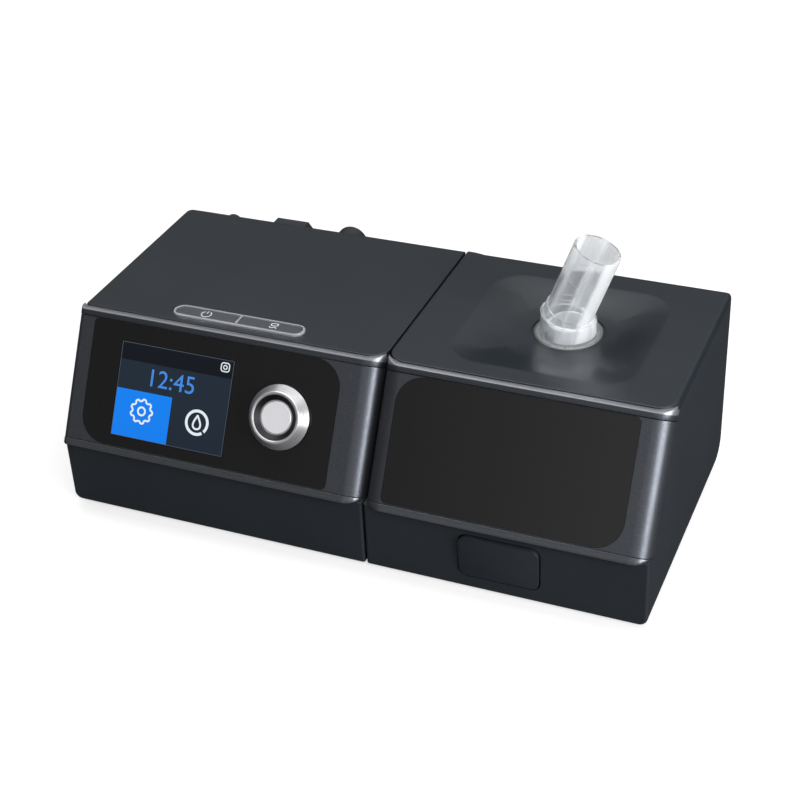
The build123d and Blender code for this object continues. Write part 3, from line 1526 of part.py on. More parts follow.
with BuildPart() as outlet_elbow:
    add(skirt.part)
    add(tube.part)
    add(skirt_room.part, mode=Mode.SUBTRACT)
    with BuildSketch(tube_plane.offset(-5)):
        Circle(elbow_tube_bore)
    extrude(amount=elbow_length + 8, mode=Mode.SUBTRACT)
    with BuildSketch(tube_plane.offset(elbow_step)):
        Circle(elbow_mouth_bore)
    extrude(amount=elbow_length, mode=Mode.SUBTRACT)
save(outlet_elbow, "outlet_elbow")

# Gasket between the air nozzle and the tub
with BuildPart() as inlet_gasket:
    with BuildSketch(Plane.YZ.offset(humidifier_left)):
        with Locations((port_y, port_z)):
            Circle(port_radius + 2)
            Circle(port_radius + air_gap, mode=Mode.SUBTRACT)
    extrude(amount=tub_left - air_gap - humidifier_left)
    with BuildSketch(Plane.YZ.offset(inner_humidifier_left)):
        with Locations((port_y, port_z)):
            Circle(port_radius + 3.5)
            Circle(port_radius + air_gap, mode=Mode.SUBTRACT)
    extrude(amount=1.8)
save(inlet_gasket, "inlet_gasket")

# Heater: a plate with a flange under the bay floor, pushed up by three leaf springs
spring_low = mid_floor_low - heater_flange_drop - spring_rise
with BuildPart() as heater_plate:
    with BuildSketch(Plane.XY.offset(mid_floor_low - heater_flange_drop)):
        with Locations((humidifier_mid, heater_y)):
            Circle(heater_flange_radius)
    extrude(amount=heater_flange)
    with BuildSketch(Plane.XY.offset(mid_floor_low - 0.5)):
        with Locations((humidifier_mid, heater_y)):
            Circle(heater_radius)
    extrude(amount=heater_top - mid_floor_low + 0.5)
    chamfer(heater_plate.faces().sort_by(Axis.Z)[-1].edges(), 0.4)
save(heater_plate, "heater_plate")
with BuildPart() as leaf_spring:
    with BuildSketch(Plane.YZ):
        with BuildLine():
            spring_line = ThreePointArc(
                (-spring_length / 2, 0), (0, spring_rise - spring_thickness), (spring_length / 2, 0)
            )
            offset(spring_line, amount=spring_thickness / 2, side=Side.BOTH)
        make_face()
    extrude(amount=spring_width / 2, both=True)
spring_box = leaf_spring.part.bounding_box()
with BuildPart() as heater_springs:
    with Locations((humidifier_mid, heater_y, spring_low - spring_box.min.Z)):
        with PolarLocations(spring_circle, 3, 90):
            add(leaf_spring.part)
save(heater_springs, "heater_springs")
with BuildPart() as heater_board:
    with BuildSketch(Plane.XY.offset(base_z + 0.5 + board_post_height)):
        with Locations((inner_humidifier_left + heater_board_inset, 0)):
            RectangleRounded(heater_board_width, heater_board_length, board_corner_radius)
    extrude(amount=board_thickness)
    with BuildSketch(Plane.XY.offset(base_z + 0.5 + board_post_height + board_thickness)):
        with Locations((inner_humidifier_left + heater_board_inset, 0)):
            with GridLocations(0, relay_spread, 1, 2):
                Rectangle(relay_length, relay_width)
    extrude(amount=relay_height)
save(heater_board, "heater_board")
with BuildPart() as dock_socket:
    with BuildSketch(Plane.YZ.offset(inner_humidifier_left)):
        with Locations((0, dock_z)):
            RectangleRounded(
                dock_plug_length + 2 * dock_wall, dock_plug_height + 2 * dock_wall, dock_corner_radius
            )
    extrude(amount=dock_socket_depth)
    with BuildSketch(Plane.YZ.offset(inner_humidifier_left)):
        with Locations((0, dock_z)):
            Rectangle(dock_plug_length + 0.6, dock_plug_height + 0.6)
    extrude(amount=dock_plug_reach - wall + 0.4, mode=Mode.SUBTRACT)
save(dock_socket, "dock_socket")

# Latch tab: a wedge in the chin, hinged at its foot, with a hook under the tub
with BuildPart() as latch_tab:
    with BuildSketch(Plane.XZ.offset(-chin_y + latch_proud)) as face:
        with Locations((latch_x, (latch_low + latch_high) / 2)):
            RectangleRounded(latch_width, latch_high - latch_low, latch_corner_radius)
    extrude(amount=-latch_proud - 1.6)
    with BuildSketch(Plane.YZ.offset(latch_x)):
        with BuildLine():
            Polyline(
                (chin_y - latch_proud - 1, latch_high + 1),
                (chin_y - latch_proud, latch_high),
                (chin_y - joint_line, latch_low),
                (chin_y - joint_line, latch_low - 1),
                (chin_y - latch_proud - 1, latch_low - 1),
                close=True,
            )
        make_face()
    extrude(amount=latch_width, both=True, mode=Mode.SUBTRACT)
    # Hinge barrel, arm and hook
    with BuildSketch(Plane.YZ.offset(latch_x)):
        with Locations((latch_pivot_y, latch_pivot_z)):
            Circle(latch_barrel_radius)
        with Locations(((chin_y + 1 + latch_pivot_y) / 2, latch_pivot_z)):
            Rectangle(latch_pivot_y - chin_y - 1, 2 * latch_barrel_radius - 0.4)
    extrude(amount=latch_width / 2 - 1.5, both=True)
    with BuildSketch(Plane.YZ.offset(latch_x)):
        with Locations(((chin_y + 1 + hook_y + hook_thickness) / 2, latch_high - 5.5)):
            Rectangle(hook_y + hook_thickness - chin_y - 1, 4)
        with Locations((hook_y + hook_thickness / 2, (latch_high - 7.5 + tub_floor_z - 1) / 2)):
            Rectangle(hook_thickness, tub_floor_z - 1 - latch_high + 7.5)
    extrude(amount=latch_arm_width / 2, both=True)
    with BuildSketch(Plane.YZ.offset(latch_x)):
        with Locations((latch_pivot_y, latch_pivot_z)):
            Circle(latch_pin_radius + running_fit)
    extrude(amount=latch_width, both=True, mode=Mode.SUBTRACT)
save(latch_tab, "latch_tab")
with BuildPart() as latch_pin:
    with BuildSketch(Plane.YZ.offset(latch_x - latch_width / 2 - latch_ear_width)):
        with Locations((latch_pivot_y, latch_pivot_z)):
            Circle(latch_pin_radius)
    extrude(amount=latch_width + 2 * latch_ear_width)
save(latch_pin, "latch_pin")

# Water drawer: front frame, trim strips and window panel
drawer_front_blank = front_frame(humidifier_left, humidifier_right, drawer_front_radii)
front_posts = [
    (tub_left + 14, -28.0),
    (tub_right - 14, -28.0),
    (tub_left + 14, -52.0),
    (tub_right - 14, -52.0),
]
with BuildPart() as drawer_front:
    add(drawer_front_blank.part)
    with BuildSketch(front_face.offset(-window_thickness)):
        add(drawer_leaf.sketch)
        offset(amount=window_fit)
    extrude(amount=window_thickness + 2, mode=Mode.SUBTRACT)
    with BuildSketch(front_face.offset(-tub_depth)):
        with Locations(*front_posts):
            Circle(front_post_radius)
    extrude(amount=tub_depth - front_wall + 0.5)
save(drawer_front, "drawer_front")
drawer_cover_room = cover_relief(humidifier_left, humidifier_right, drawer_cover_radii)
drawer_chin_room = chin_relief(humidifier_left, humidifier_right)
drawer_trim_top = trim_strip(
    humidifier_left,
    humidifier_right,
    drawer_front_radii,
    -8,
    trim_top_height,
    True,
    body_height,
    drawer_cover_room,
)
save(drawer_trim_top, "drawer_trim_top")
drawer_trim_bottom = trim_strip(
    humidifier_left,
    humidifier_right,
    drawer_front_radii,
    slope_length - trim_bottom_height,
    slope_length + 8,
    False,
    foot_height,
    drawer_chin_room,
)
save(drawer_trim_bottom, "drawer_trim_bottom")
with BuildPart() as drawer_window:
    with BuildSketch(front_face.offset(-window_thickness)):
        add(drawer_leaf.sketch)
    extrude(amount=window_thickness)
save(drawer_window, "drawer_window")


def tub_block(low, high, inset):
    """Block with the tub's sloping front between two heights, smaller by an inset all round."""
    with BuildPart() as block:
        with BuildSketch(Plane.YZ.offset(tub_left + inset)):
            with BuildLine():
                Polyline(
                    (slope_y(low, tub_depth + inset), low),
                    (slope_y(high, tub_depth + inset), high),
                    (tub_back - inset, high),
                    (tub_back - inset, low),
                    close=True,
                )
            make_face()
        extrude(amount=tub_right - tub_left - 2 * inset)
    return block


# Water tub with its flanges, heat plate seat, strike and air inlet
tub_outer = tub_block(tub_floor_z, tub_rim_z, 0)
tub_inner = tub_block(tub_floor_z + tub_wall, tub_rim_z + 1, tub_wall)
flange_front = slope_y(rail_high, tub_depth + 4)
with BuildPart() as water_tub:
    add(tub_outer.part)
    fillet(water_tub.edges().filter_by(Axis.Z).group_by(Axis.Y)[-1], tub_corner_radius)
    with BuildSketch(Plane.XY.offset(rail_high + air_gap)):
        with Locations((humidifier_mid, (flange_front + tub_back - tub_flange_back) / 2)):
            Rectangle(
                tub_right - tub_left + 2 * rail_width - 2 * air_gap,
                tub_back - tub_flange_back - flange_front,
            )
    extrude(amount=tub_flange)
    with BuildSketch(Plane.XY.offset(tub_floor_z - 0.7)):
        with Locations((latch_x, hook_y + hook_thickness + 2)):
            Rectangle(latch_arm_width, 3)
    extrude(amount=1.5)
    add(tub_inner.part, mode=Mode.SUBTRACT)
    with BuildSketch(Plane.XY.offset(tub_floor_z - 1)):
        with Locations((humidifier_mid, heater_y)):
            Circle(plate_seat_radius)
    extrude(amount=heat_plate_low + heat_plate_thickness - tub_floor_z + 1, mode=Mode.SUBTRACT)
    with BuildSketch(Plane.XY.offset(tub_floor_z - 1)):
        with Locations((humidifier_mid, heater_y)):
            Circle(plate_seat_radius - plate_seat_lip)
    extrude(amount=tub_wall + 2, mode=Mode.SUBTRACT)
    with BuildSketch(Plane.YZ.offset(tub_left - 1)):
        with Locations((port_y, port_z)):
            Circle(tub_inlet_radius)
    extrude(amount=tub_wall + 2, mode=Mode.SUBTRACT)
save(water_tub, "water_tub")
with BuildPart() as tub_heat_plate:
    with BuildSketch(Plane.XY.offset(heat_plate_low)):
        with Locations((humidifier_mid, heater_y)):
            Circle(plate_seat_radius)
    extrude(amount=heat_plate_thickness)
save(tub_heat_plate, "tub_heat_plate")

# Tub lid with its plug, and the seal between the plug and the tub
lid_outer = tub_block(tub_rim_z, lid_top, 0)
lid_plug = tub_block(tub_rim_z - lid_plug_depth, tub_rim_z + 0.5, tub_wall + seal_width)
with BuildPart() as tub_lid:
    add(lid_outer.part)
    fillet(tub_lid.edges().filter_by(Axis.Z).group_by(Axis.Y)[-1], tub_corner_radius)
    add(lid_plug.part)
    with BuildSketch(Plane.XY.offset(lid_top - 0.5)):
        with Locations((ring_x, ring_y)):
            Circle(tub_inlet_radius + 4)
    extrude(amount=port_rise + 0.5)
    with BuildSketch(Plane.XY.offset(tub_rim_z - lid_plug_depth - 1)):
        with Locations((ring_x, ring_y)):
            Circle(tub_inlet_radius)
    extrude(amount=lid_thickness + lid_plug_depth + 4, mode=Mode.SUBTRACT)
save(tub_lid, "tub_lid")
seal_outer = tub_block(tub_rim_z - lid_plug_depth + 0.2, tub_rim_z, tub_wall)
seal_inner = tub_block(tub_rim_z - lid_plug_depth - 1, tub_rim_z + 1, tub_wall + seal_width)
with BuildPart() as tub_seal:
    add(seal_outer.part)
    add(seal_inner.part, mode=Mode.SUBTRACT)
save(tub_seal, "tub_seal")
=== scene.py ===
"""Looks of the bilevel pap machine: finishes, fine surfaces, studio and camera.

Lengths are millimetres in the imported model's frame (+X towards the humidifier, -Y towards the user,
+Z up, the floor at zero) and become metres when a mesh is made.
"""

import logging
import math
from dataclasses import dataclass
from enum import Enum
from typing import Any

import bmesh
import bpy
import numpy as np
from mathutils import Matrix, Vector


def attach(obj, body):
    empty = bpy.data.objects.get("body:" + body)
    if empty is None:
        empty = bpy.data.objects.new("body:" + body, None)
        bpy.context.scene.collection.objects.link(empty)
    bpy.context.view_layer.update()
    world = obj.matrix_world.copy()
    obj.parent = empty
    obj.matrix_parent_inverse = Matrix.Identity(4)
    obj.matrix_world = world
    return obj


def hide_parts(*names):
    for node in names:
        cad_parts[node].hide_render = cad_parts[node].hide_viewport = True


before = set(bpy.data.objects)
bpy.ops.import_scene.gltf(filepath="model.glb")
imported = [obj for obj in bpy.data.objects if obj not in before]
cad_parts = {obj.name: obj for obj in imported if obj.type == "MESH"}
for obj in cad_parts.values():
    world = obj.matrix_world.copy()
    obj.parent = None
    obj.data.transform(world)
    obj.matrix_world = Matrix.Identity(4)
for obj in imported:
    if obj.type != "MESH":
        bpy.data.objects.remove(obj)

MM = 0.001
LOG = logging.getLogger("bilevel_pap_machine")
OUTLET = (80.15, 13.6)
ELBOW_BEND_Z = 98.0
ELBOW_TILT = math.radians(20.3)


def linear(code: str) -> tuple[float, float, float, float]:
    """Turns an sRGB hex value into Blender's linear colour.

    Args:
        code: six hex digits, such as "3c4046".

    Returns:
        Red, green, blue and an alpha of 1.
    """
    parts = [int(code[i : i + 2], 16) / 255 for i in (0, 2, 4)]
    red, green, blue = (c / 12.92 if c <= 0.04045 else ((c + 0.055) / 1.055) ** 2.4 for c in parts)
    return red, green, blue, 1.0


def add_node(
    tree: bpy.types.NodeTree, kind: str, links: dict | None = None, **settings: Any
) -> bpy.types.Node:
    """Adds one shader node with its settings, values and links.

    Args:
        tree: node tree that takes the node.
        kind: Blender's name of the node.
        links: value or output socket for each input, by the input's name or place.
        settings: attributes of the node itself.

    Returns:
        The new node.
    """
    node = tree.nodes.new(kind)
    for key, value in settings.items():
        setattr(node, key, value)
    for key, value in (links or {}).items():
        if isinstance(value, bpy.types.NodeSocket):
            tree.links.new(value, node.inputs[key])
        else:
            node.inputs[key].default_value = value
    return node


@dataclass
class Layout:
    """A material under work: its tree, its Principled shader and the object's coordinates."""

    material: bpy.types.Material
    tree: bpy.types.NodeTree
    shader: bpy.types.Node
    place: bpy.types.NodeSocket

    @classmethod
    def start(cls, name: str) -> "Layout":
        """Makes an empty material with a Principled shader.

        Args:
            name: the material's name.

        Returns:
            The layout to work on.
        """
        material = bpy.data.materials.new(name)
        material.use_nodes = True
        tree = material.node_tree
        tree.nodes.clear()
        shader = add_node(tree, "ShaderNodeBsdfPrincipled")
        add_node(tree, "ShaderNodeOutputMaterial", {"Surface": shader.outputs["BSDF"]})
        coordinates = add_node(tree, "ShaderNodeTexCoord")
        return cls(material, tree, shader, coordinates.outputs["Object"])

    def set(self, **values: Any) -> None:
        """Sets or links inputs of the shader; an underscore in a key stands for a space."""
        for key, value in values.items():
            socket = self.shader.inputs[key.replace("_", " ")]
            if isinstance(value, bpy.types.NodeSocket):
                self.tree.links.new(value, socket)
            else:
                socket.default_value = value

    def work_surface(
        self,
        gloss: bpy.types.NodeSocket,
        roughness: tuple[float, float],
        relief: bpy.types.NodeSocket,
        strength: float,
        depth: float,
    ) -> None:
        """Varies the roughness with one pattern and raises the surface with another.

        Args:
            gloss: pattern of the roughness.
            roughness: roughness where the pattern is 0 and where it is 1.
            relief: pattern of the height.
            strength: share of the relief that shows.
            depth: height of the relief in millimetres.
        """
        spread = add_node(self.tree, "ShaderNodeMapRange", {0: gloss, 3: roughness[0], 4: roughness[1]})
        bump = add_node(
            self.tree, "ShaderNodeBump", {"Height": relief, "Strength": strength, "Distance": depth * MM}
        )
        self.set(Roughness=spread.outputs["Result"], Normal=bump.outputs["Normal"])


@dataclass(frozen=True)
class Finish:
    """What a surface is made of and how it was made."""

    name: str

    def build(self) -> bpy.types.Material:
        """Makes the material."""
        raise NotImplementedError


@dataclass(frozen=True)
class MouldedPlastic(Finish):
    """Injection-moulded ABS from a spark-eroded tool: satin, finely grained, slightly clouded."""

    colour: str = "3c4046"
    second: str = "41454b"
    roughness: float = 0.45
    grain: float = 1.2
    grain_depth: float = 0.012
    cloud: float = 38.0
    specular: float = 0.5

    def build(self) -> bpy.types.Material:
        """Clouds vary the tone and gloss over centimetres, and grains break up the highlight.

        The tool's real grain is about 0.1 mm, which is too fine to show, so it is drawn coarser.
        """
        made = Layout.start(self.name)
        tree = made.tree
        cloud = add_node(
            tree, "ShaderNodeTexNoise", {"Vector": made.place, "Scale": 1000 / self.cloud, "Detail": 3.0}
        )
        tone = add_node(
            tree,
            "ShaderNodeMix",
            {"Factor": cloud.outputs["Fac"], 6: linear(self.colour), 7: linear(self.second)},
            data_type="RGBA",
        )
        grain = add_node(
            tree,
            "ShaderNodeTexNoise",
            {"Vector": made.place, "Scale": 1000 / self.grain, "Detail": 2.0, "Roughness": 0.6},
        )
        spread = (self.roughness - 0.05, self.roughness + 0.05)
        made.work_surface(cloud.outputs["Fac"], spread, grain.outputs["Fac"], 0.5, self.grain_depth)
        made.set(Base_Color=tone.outputs[2], IOR=1.52, Specular_IOR_Level=self.specular)
        return made.material


@dataclass(frozen=True)
class LacqueredPlastic(Finish):
    """ABS under satin lacquer with aluminium flakes: silvery grey, with a soft metallic highlight."""

    colour: str = "5b5e64"
    flake_colour: str = "676a70"
    roughness: float = 0.34
    metal: float = 0.75
    flake: float = 0.45
    # colour and width of the painted highlight along the upper edge
    bright: str = "d9dbe0"
    painted_highlight_width: float = 0.0

    def painted_highlight_share(self, made: Layout) -> bpy.types.NodeSocket:
        """Where the painted highlight along the upper edge lies, as the distance down the slope from its top.

        Args:
            made: the material under work.

        Returns:
            A value of 1 on the edge and 0 below it.
        """
        down = add_node(
            made.tree,
            "ShaderNodeVectorMath",
            {0: made.place, 1: (0.0, -math.sin(SLOPE.lean), -math.cos(SLOPE.lean))},
            operation="DOT_PRODUCT",
        )
        start = -(SLOPE.top_y * math.sin(SLOPE.lean) + SLOPE.body_height * math.cos(SLOPE.lean))
        share = add_node(
            made.tree,
            "ShaderNodeMapRange",
            {
                "Value": down.outputs["Value"],
                "From Min": (start + self.painted_highlight_width - 0.1) * MM,
                "From Max": (start + self.painted_highlight_width + 0.15) * MM,
                "To Min": 1.0,
                "To Max": 0.0,
            },
        )
        return share.outputs["Result"]

    def build(self) -> bpy.types.Material:
        """Flakes lie at scattered points and differ in tone and gloss from their neighbours.

        Real flakes are 0.03 mm wide, which is too fine to show, so they are drawn coarser. A lighter
        band along the upper edge is a painted highlight.
        """
        made = Layout.start(self.name)
        tree = made.tree
        flakes = add_node(tree, "ShaderNodeTexVoronoi", {"Vector": made.place, "Scale": 1000 / self.flake})
        share = add_node(tree, "ShaderNodeSeparateXYZ", {0: flakes.outputs["Color"]})
        tone = add_node(
            tree,
            "ShaderNodeMix",
            {"Factor": share.outputs[0], 6: linear(self.colour), 7: linear(self.flake_colour)},
            data_type="RGBA",
        )
        gloss = add_node(
            tree,
            "ShaderNodeMapRange",
            {"Value": share.outputs[1], "To Min": self.roughness - 0.06, "To Max": self.roughness + 0.06},
        )
        made.set(Base_Color=tone.outputs[2], Roughness=gloss.outputs["Result"], Metallic=self.metal)
        # a lighter band along the upper edge: a painted highlight
        if self.painted_highlight_width:
            cut = add_node(
                tree,
                "ShaderNodeMix",
                {"Factor": self.painted_highlight_share(made), 6: tone.outputs[2], 7: linear(self.bright)},
                data_type="RGBA",
            )
            made.set(Base_Color=cut.outputs[2])
        return made.material


@dataclass(frozen=True)
class FrostedPlastic(Finish):
    """Clear polycarbonate from a blasted tool: milky, with light passing through softly."""

    colour: str = "c3c6ca"
    roughness: float = 0.3
    clear: float = 0.35
    frost: float = 0.8
    frost_depth: float = 0.01

    def build(self) -> bpy.types.Material:
        """Pits from blasting scatter the highlight; real pits are finer and are drawn coarser."""
        made = Layout.start(self.name)
        pits = add_node(
            made.tree, "ShaderNodeTexNoise", {"Vector": made.place, "Scale": 1000 / self.frost, "Detail": 2.0}
        )
        spread = (self.roughness - 0.05, self.roughness + 0.08)
        made.work_surface(pits.outputs["Fac"], spread, pits.outputs["Fac"], 0.5, self.frost_depth)
        made.set(Base_Color=linear(self.colour), IOR=1.585, Transmission_Weight=self.clear)
        return made.material


@dataclass(frozen=True)
class PolishedPlastic(Finish):
    """Polycarbonate and ABS from a polished tool: glossy, with faint waves and fine rubbed marks."""

    colour: str = "1e1e1e"
    roughness: float = 0.16
    wave: float = 9.0
    wave_depth: float = 0.01
    marks: float = 2.4

    def build(self) -> bpy.types.Material:
        """Waves bend reflections over centimetres; rubbed marks vary the gloss over millimetres."""
        made = Layout.start(self.name)
        tree = made.tree
        wave = add_node(
            tree, "ShaderNodeTexNoise", {"Vector": made.place, "Scale": 1000 / self.wave, "Detail": 1.0}
        )
        rubbed = add_node(
            tree,
            "ShaderNodeTexNoise",
            {"Vector": made.place, "Scale": 1000 / self.marks, "Detail": 4.0, "Distortion": 1.2},
        )
        spread = (self.roughness - 0.04, self.roughness + 0.06)
        made.work_surface(rubbed.outputs["Fac"], spread, wave.outputs["Fac"], 0.4, self.wave_depth)
        made.set(Base_Color=linear(self.colour), IOR=1.5)
        return made.material


@dataclass(frozen=True)
class ClearPlastic(Finish):
    """Moulded clear polycarbonate: glassy, with flow waves, and with milky streaks along the tube that are
    painted highlights.
    """

    colour: str = "eef1f4"
    roughness: float = 0.04
    wave: float = 7.0
    wave_depth: float = 0.03
    clear: float = 1.0
    painted_streak_share: float = 0.0
    streaks: float = 1.6
    bend: float = 1.585
    centre: tuple[float, float, float] = (0.0, 0.0, 0.0)
    tilt: float = 0.0

    def painted_highlight_streaks(self, made: Layout) -> bpy.types.NodeSocket:
        """Painted highlight streaks along the tube: milky bands, as a noise of the direction from its axis.

        Args:
            made: the material under work.

        Returns:
            How clear the plastic is.
        """
        tree = made.tree
        settings = {"Location": tuple(c * MM for c in self.centre), "Rotation": (0.0, self.tilt, 0.0)}
        turned = add_node(
            tree, "ShaderNodeMapping", {"Vector": made.place, **settings}, vector_type="TEXTURE"
        )
        split = add_node(tree, "ShaderNodeSeparateXYZ", {0: turned.outputs[0]})
        flat = add_node(tree, "ShaderNodeCombineXYZ", {0: split.outputs[0], 1: split.outputs[1]})
        outward = add_node(tree, "ShaderNodeVectorMath", {0: flat.outputs[0]}, operation="NORMALIZE")
        marks = add_node(
            tree, "ShaderNodeTexNoise", {"Vector": outward.outputs[0], "Scale": self.streaks, "Detail": 1.0}
        )
        # the streaks are painted highlights: less light passes, so the white base colour shows
        share = add_node(
            tree,
            "ShaderNodeMapRange",
            {0: marks.outputs["Fac"], 1: 0.36, 2: 0.68, 3: self.clear, 4: self.clear - self.painted_streak_share},
            interpolation_type="SMOOTHSTEP",
        )
        return share.outputs["Result"]

    def build(self) -> bpy.types.Material:
        """Flow waves from moulding bend what is seen through the wall."""
        made = Layout.start(self.name)
        wave = add_node(
            made.tree, "ShaderNodeTexNoise", {"Vector": made.place, "Scale": 1000 / self.wave, "Detail": 1.0}
        )
        spread = (self.roughness, self.roughness + 0.06)
        made.work_surface(wave.outputs["Fac"], spread, wave.outputs["Fac"], 0.5, self.wave_depth)
        made.set(Base_Color=linear(self.colour), IOR=self.bend)
        made.set(Transmission_Weight=self.painted_highlight_streaks(made) if self.painted_streak_share else self.clear)
        return made.material


class Lay(Enum):
    """Direction in which a metal surface was worked."""

    RINGS = "rings round an axis"
    LINES = "lines along X"


@dataclass(frozen=True)
class WorkedMetal(Finish):
    """Turned or brushed metal: fine lines stretch the highlight across them."""

    colour: str = "b4b4b6"
    roughness: float = 0.3
    lay: Lay = Lay.LINES
    line: float = 0.5
    line_depth: float = 0.012
    centre: tuple[float, float, float] = (0.0, 0.0, 0.0)
    tilt: float = 0.0
    metal: float = 1.0

    def build(self) -> bpy.types.Material:
        """Lines follow the distance from the axis, or the place across X, as a noise of one value."""
        made = Layout.start(self.name)
        tree = made.tree
        turned = add_node(
            tree,
            "ShaderNodeMapping",
            {
                "Vector": made.place,
                "Location": tuple(c * MM for c in self.centre),
                "Rotation": (self.tilt, 0.0, 0.0),
            },
            vector_type="TEXTURE",
        )
        split = add_node(tree, "ShaderNodeSeparateXYZ", {0: turned.outputs[0]})
        if self.lay is Lay.RINGS:
            flat = add_node(tree, "ShaderNodeCombineXYZ", {0: split.outputs[0], 1: split.outputs[1]})
            length = add_node(tree, "ShaderNodeVectorMath", {0: flat.outputs[0]}, operation="LENGTH")
            across = length.outputs[1]
        else:
            across = add_node(
                tree, "ShaderNodeMath", {0: split.outputs[1], 1: split.outputs[2]}, operation="ADD"
            ).outputs[0]
        lines = add_node(
            tree,
            "ShaderNodeTexNoise",
            {"W": across, "Scale": 1000 / self.line, "Detail": 3.0, "Roughness": 0.7},
            noise_dimensions="1D",
        )
        spread = (self.roughness - 0.08, self.roughness + 0.1)
        made.work_surface(lines.outputs["Fac"], spread, lines.outputs["Fac"], 0.6, self.line_depth)
        made.set(Base_Color=linear(self.colour), Metallic=self.metal)
        return made.material


@dataclass(frozen=True)
class SoftRubber(Finish):
    """Moulded rubber or silicone: matt, with a dusty bloom in patches."""

    colour: str = "1b1b1d"
    bloom: str = "242427"
    roughness: float = 0.7
    patch: float = 6.0

    def build(self) -> bpy.types.Material:
        """Patches of bloom lighten the matt surface over millimetres."""
        made = Layout.start(self.name)
        tree = made.tree
        patch = add_node(
            tree, "ShaderNodeTexNoise", {"Vector": made.place, "Scale": 1000 / self.patch, "Detail": 4.0}
        )
        tone = add_node(
            tree,
            "ShaderNodeMix",
            {"Factor": patch.outputs["Fac"], 6: linear(self.colour), 7: linear(self.bloom)},
            data_type="RGBA",
        )
        bump = add_node(
            tree, "ShaderNodeBump", {"Height": patch.outputs["Fac"], "Strength": 0.3, "Distance": 0.02 * MM}
        )
        made.set(Base_Color=tone.outputs[2], Roughness=self.roughness, Normal=bump.outputs["Normal"])
        return made.material


@dataclass(frozen=True)
class CellFoam(Finish):
    """Open-cell foam or a fibre pad: matt, pitted by its cells."""

    colour: str = "242426"
    light: str = "3a3a3d"
    cell: float = 1.6
    depth: float = 0.5

    def build(self) -> bpy.types.Material:
        """Cell walls are light and cell centres dark, as distances to scattered points; the dark centres are
        painted shade in the pits.
        """
        made = Layout.start(self.name)
        tree = made.tree
        cells = add_node(tree, "ShaderNodeTexVoronoi", {"Vector": made.place, "Scale": 1000 / self.cell})
        # darker cell centres: painted shade in the pits
        tone = add_node(
            tree,
            "ShaderNodeMix",
            {"Factor": cells.outputs["Distance"], 6: linear(self.colour), 7: linear(self.light)},
            data_type="RGBA",
        )
        bump = add_node(
            tree,
            "ShaderNodeBump",
            {"Height": cells.outputs["Distance"], "Strength": 0.8, "Distance": self.depth * MM},
        )
        made.set(Base_Color=tone.outputs[2], Roughness=0.9, Normal=bump.outputs["Normal"])
        return made.material


@dataclass(frozen=True)
class CircuitBoard(Finish):
    """Glass-fibre board under green solder mask, with copper tracks showing as lighter lines."""

    colour: str = "114a26"
    track: str = "2a7a43"
    pitch: float = 2.5

    def build(self) -> bpy.types.Material:
        """Tracks are the mortar of a brick pattern, raised a little under the mask."""
        made = Layout.start(self.name)
        tree = made.tree
        tracks = add_node(
            tree,
            "ShaderNodeTexBrick",
            {
                "Vector": made.place,
                "Scale": 1000 / self.pitch,
                "Color1": linear(self.colour),
                "Color2": linear(self.colour),
                "Mortar": linear(self.track),
                "Mortar Size": 0.12,
            },
        )
        bump = add_node(
            tree, "ShaderNodeBump", {"Height": tracks.outputs["Fac"], "Strength": 0.5, "Distance": 0.05 * MM}
        )
        made.set(Base_Color=tracks.outputs["Color"], Roughness=0.3, Normal=bump.outputs["Normal"])
        return made.material


@dataclass(frozen=True)
class LitPixels(Finish):
    """Part of the lit display: colour that glows behind glossy glass, in a fine pixel pattern."""

    colour: str = "1b2733"
    end: str = "1b2733"
    low: float = 66.0
    high: float = 80.0
    glow: float = 1.0

    def build(self) -> bpy.types.Material:
        """The colour runs from one end to the other by height, and pixel rows vary it slightly.

        Real pixels are 0.1 mm wide; rows are drawn 0.5 mm apart so that they can show at all.
        """
        made = Layout.start(self.name)
        tree = made.tree
        split = add_node(tree, "ShaderNodeSeparateXYZ", {0: made.place})
        height = add_node(
            tree,
            "ShaderNodeMapRange",
            {"Value": split.outputs[2], "From Min": self.low * MM, "From Max": self.high * MM},
        )
        rows = add_node(
            tree, "ShaderNodeTexNoise", {"Vector": made.place, "Scale": 2000.0, "Detail": 0.0}
        )
        tone = add_node(
            tree,
            "ShaderNodeMix",
            {"Factor": height.outputs["Result"], 6: linear(self.colour), 7: linear(self.end)},
            data_type="RGBA",
        )
        dimmed = add_node(
            tree,
            "ShaderNodeMapRange",
            {"Value": rows.outputs["Fac"], "To Min": 0.96, "To Max": 1.04},
        )
        lit = add_node(
            tree,
            "ShaderNodeVectorMath",
            {0: tone.outputs[2], "Scale": dimmed.outputs["Result"]},
            operation="SCALE",
        )
        made.set(Base_Color=linear("050607"), Roughness=0.12, IOR=1.5)
        made.set(Emission_Color=lit.outputs[0], Emission_Strength=self.glow)
        return made.material


MADE: dict[str, bpy.types.Material] = {}


def material_of(finish: Finish) -> bpy.types.Material:
    """Builds a finish once and hands out its material.

    Args:
        finish: the finish wanted.

    Returns:
        Its material.
    """
    if finish.name not in MADE:
        MADE[finish.name] = finish.build()
    return MADE[finish.name]


def dress_node(name: str, finish: Finish, split_angle: float = 30.0) -> None:
    """Gives a CAD node its material and smooth shading between sharp edges.

    Args:
        name: the CAD node.
        finish: its finish.
        split_angle: edges sharper than this many degrees stay sharp.
    """
    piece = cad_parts[name]
    piece.data.materials.clear()
    piece.data.materials.append(material_of(finish))
    count = len(piece.data.polygons)
    piece.data.polygons.foreach_set("use_smooth", np.ones(count, dtype=bool))
    weld = piece.modifiers.new("weld", "WELD")
    weld.merge_threshold = 1e-6
    sharp = piece.modifiers.new("sharp edges", "EDGE_SPLIT")
    sharp.split_angle = math.radians(split_angle)
    weighted = piece.modifiers.new("flat faces", "WEIGHTED_NORMAL")
    weighted.keep_sharp = True


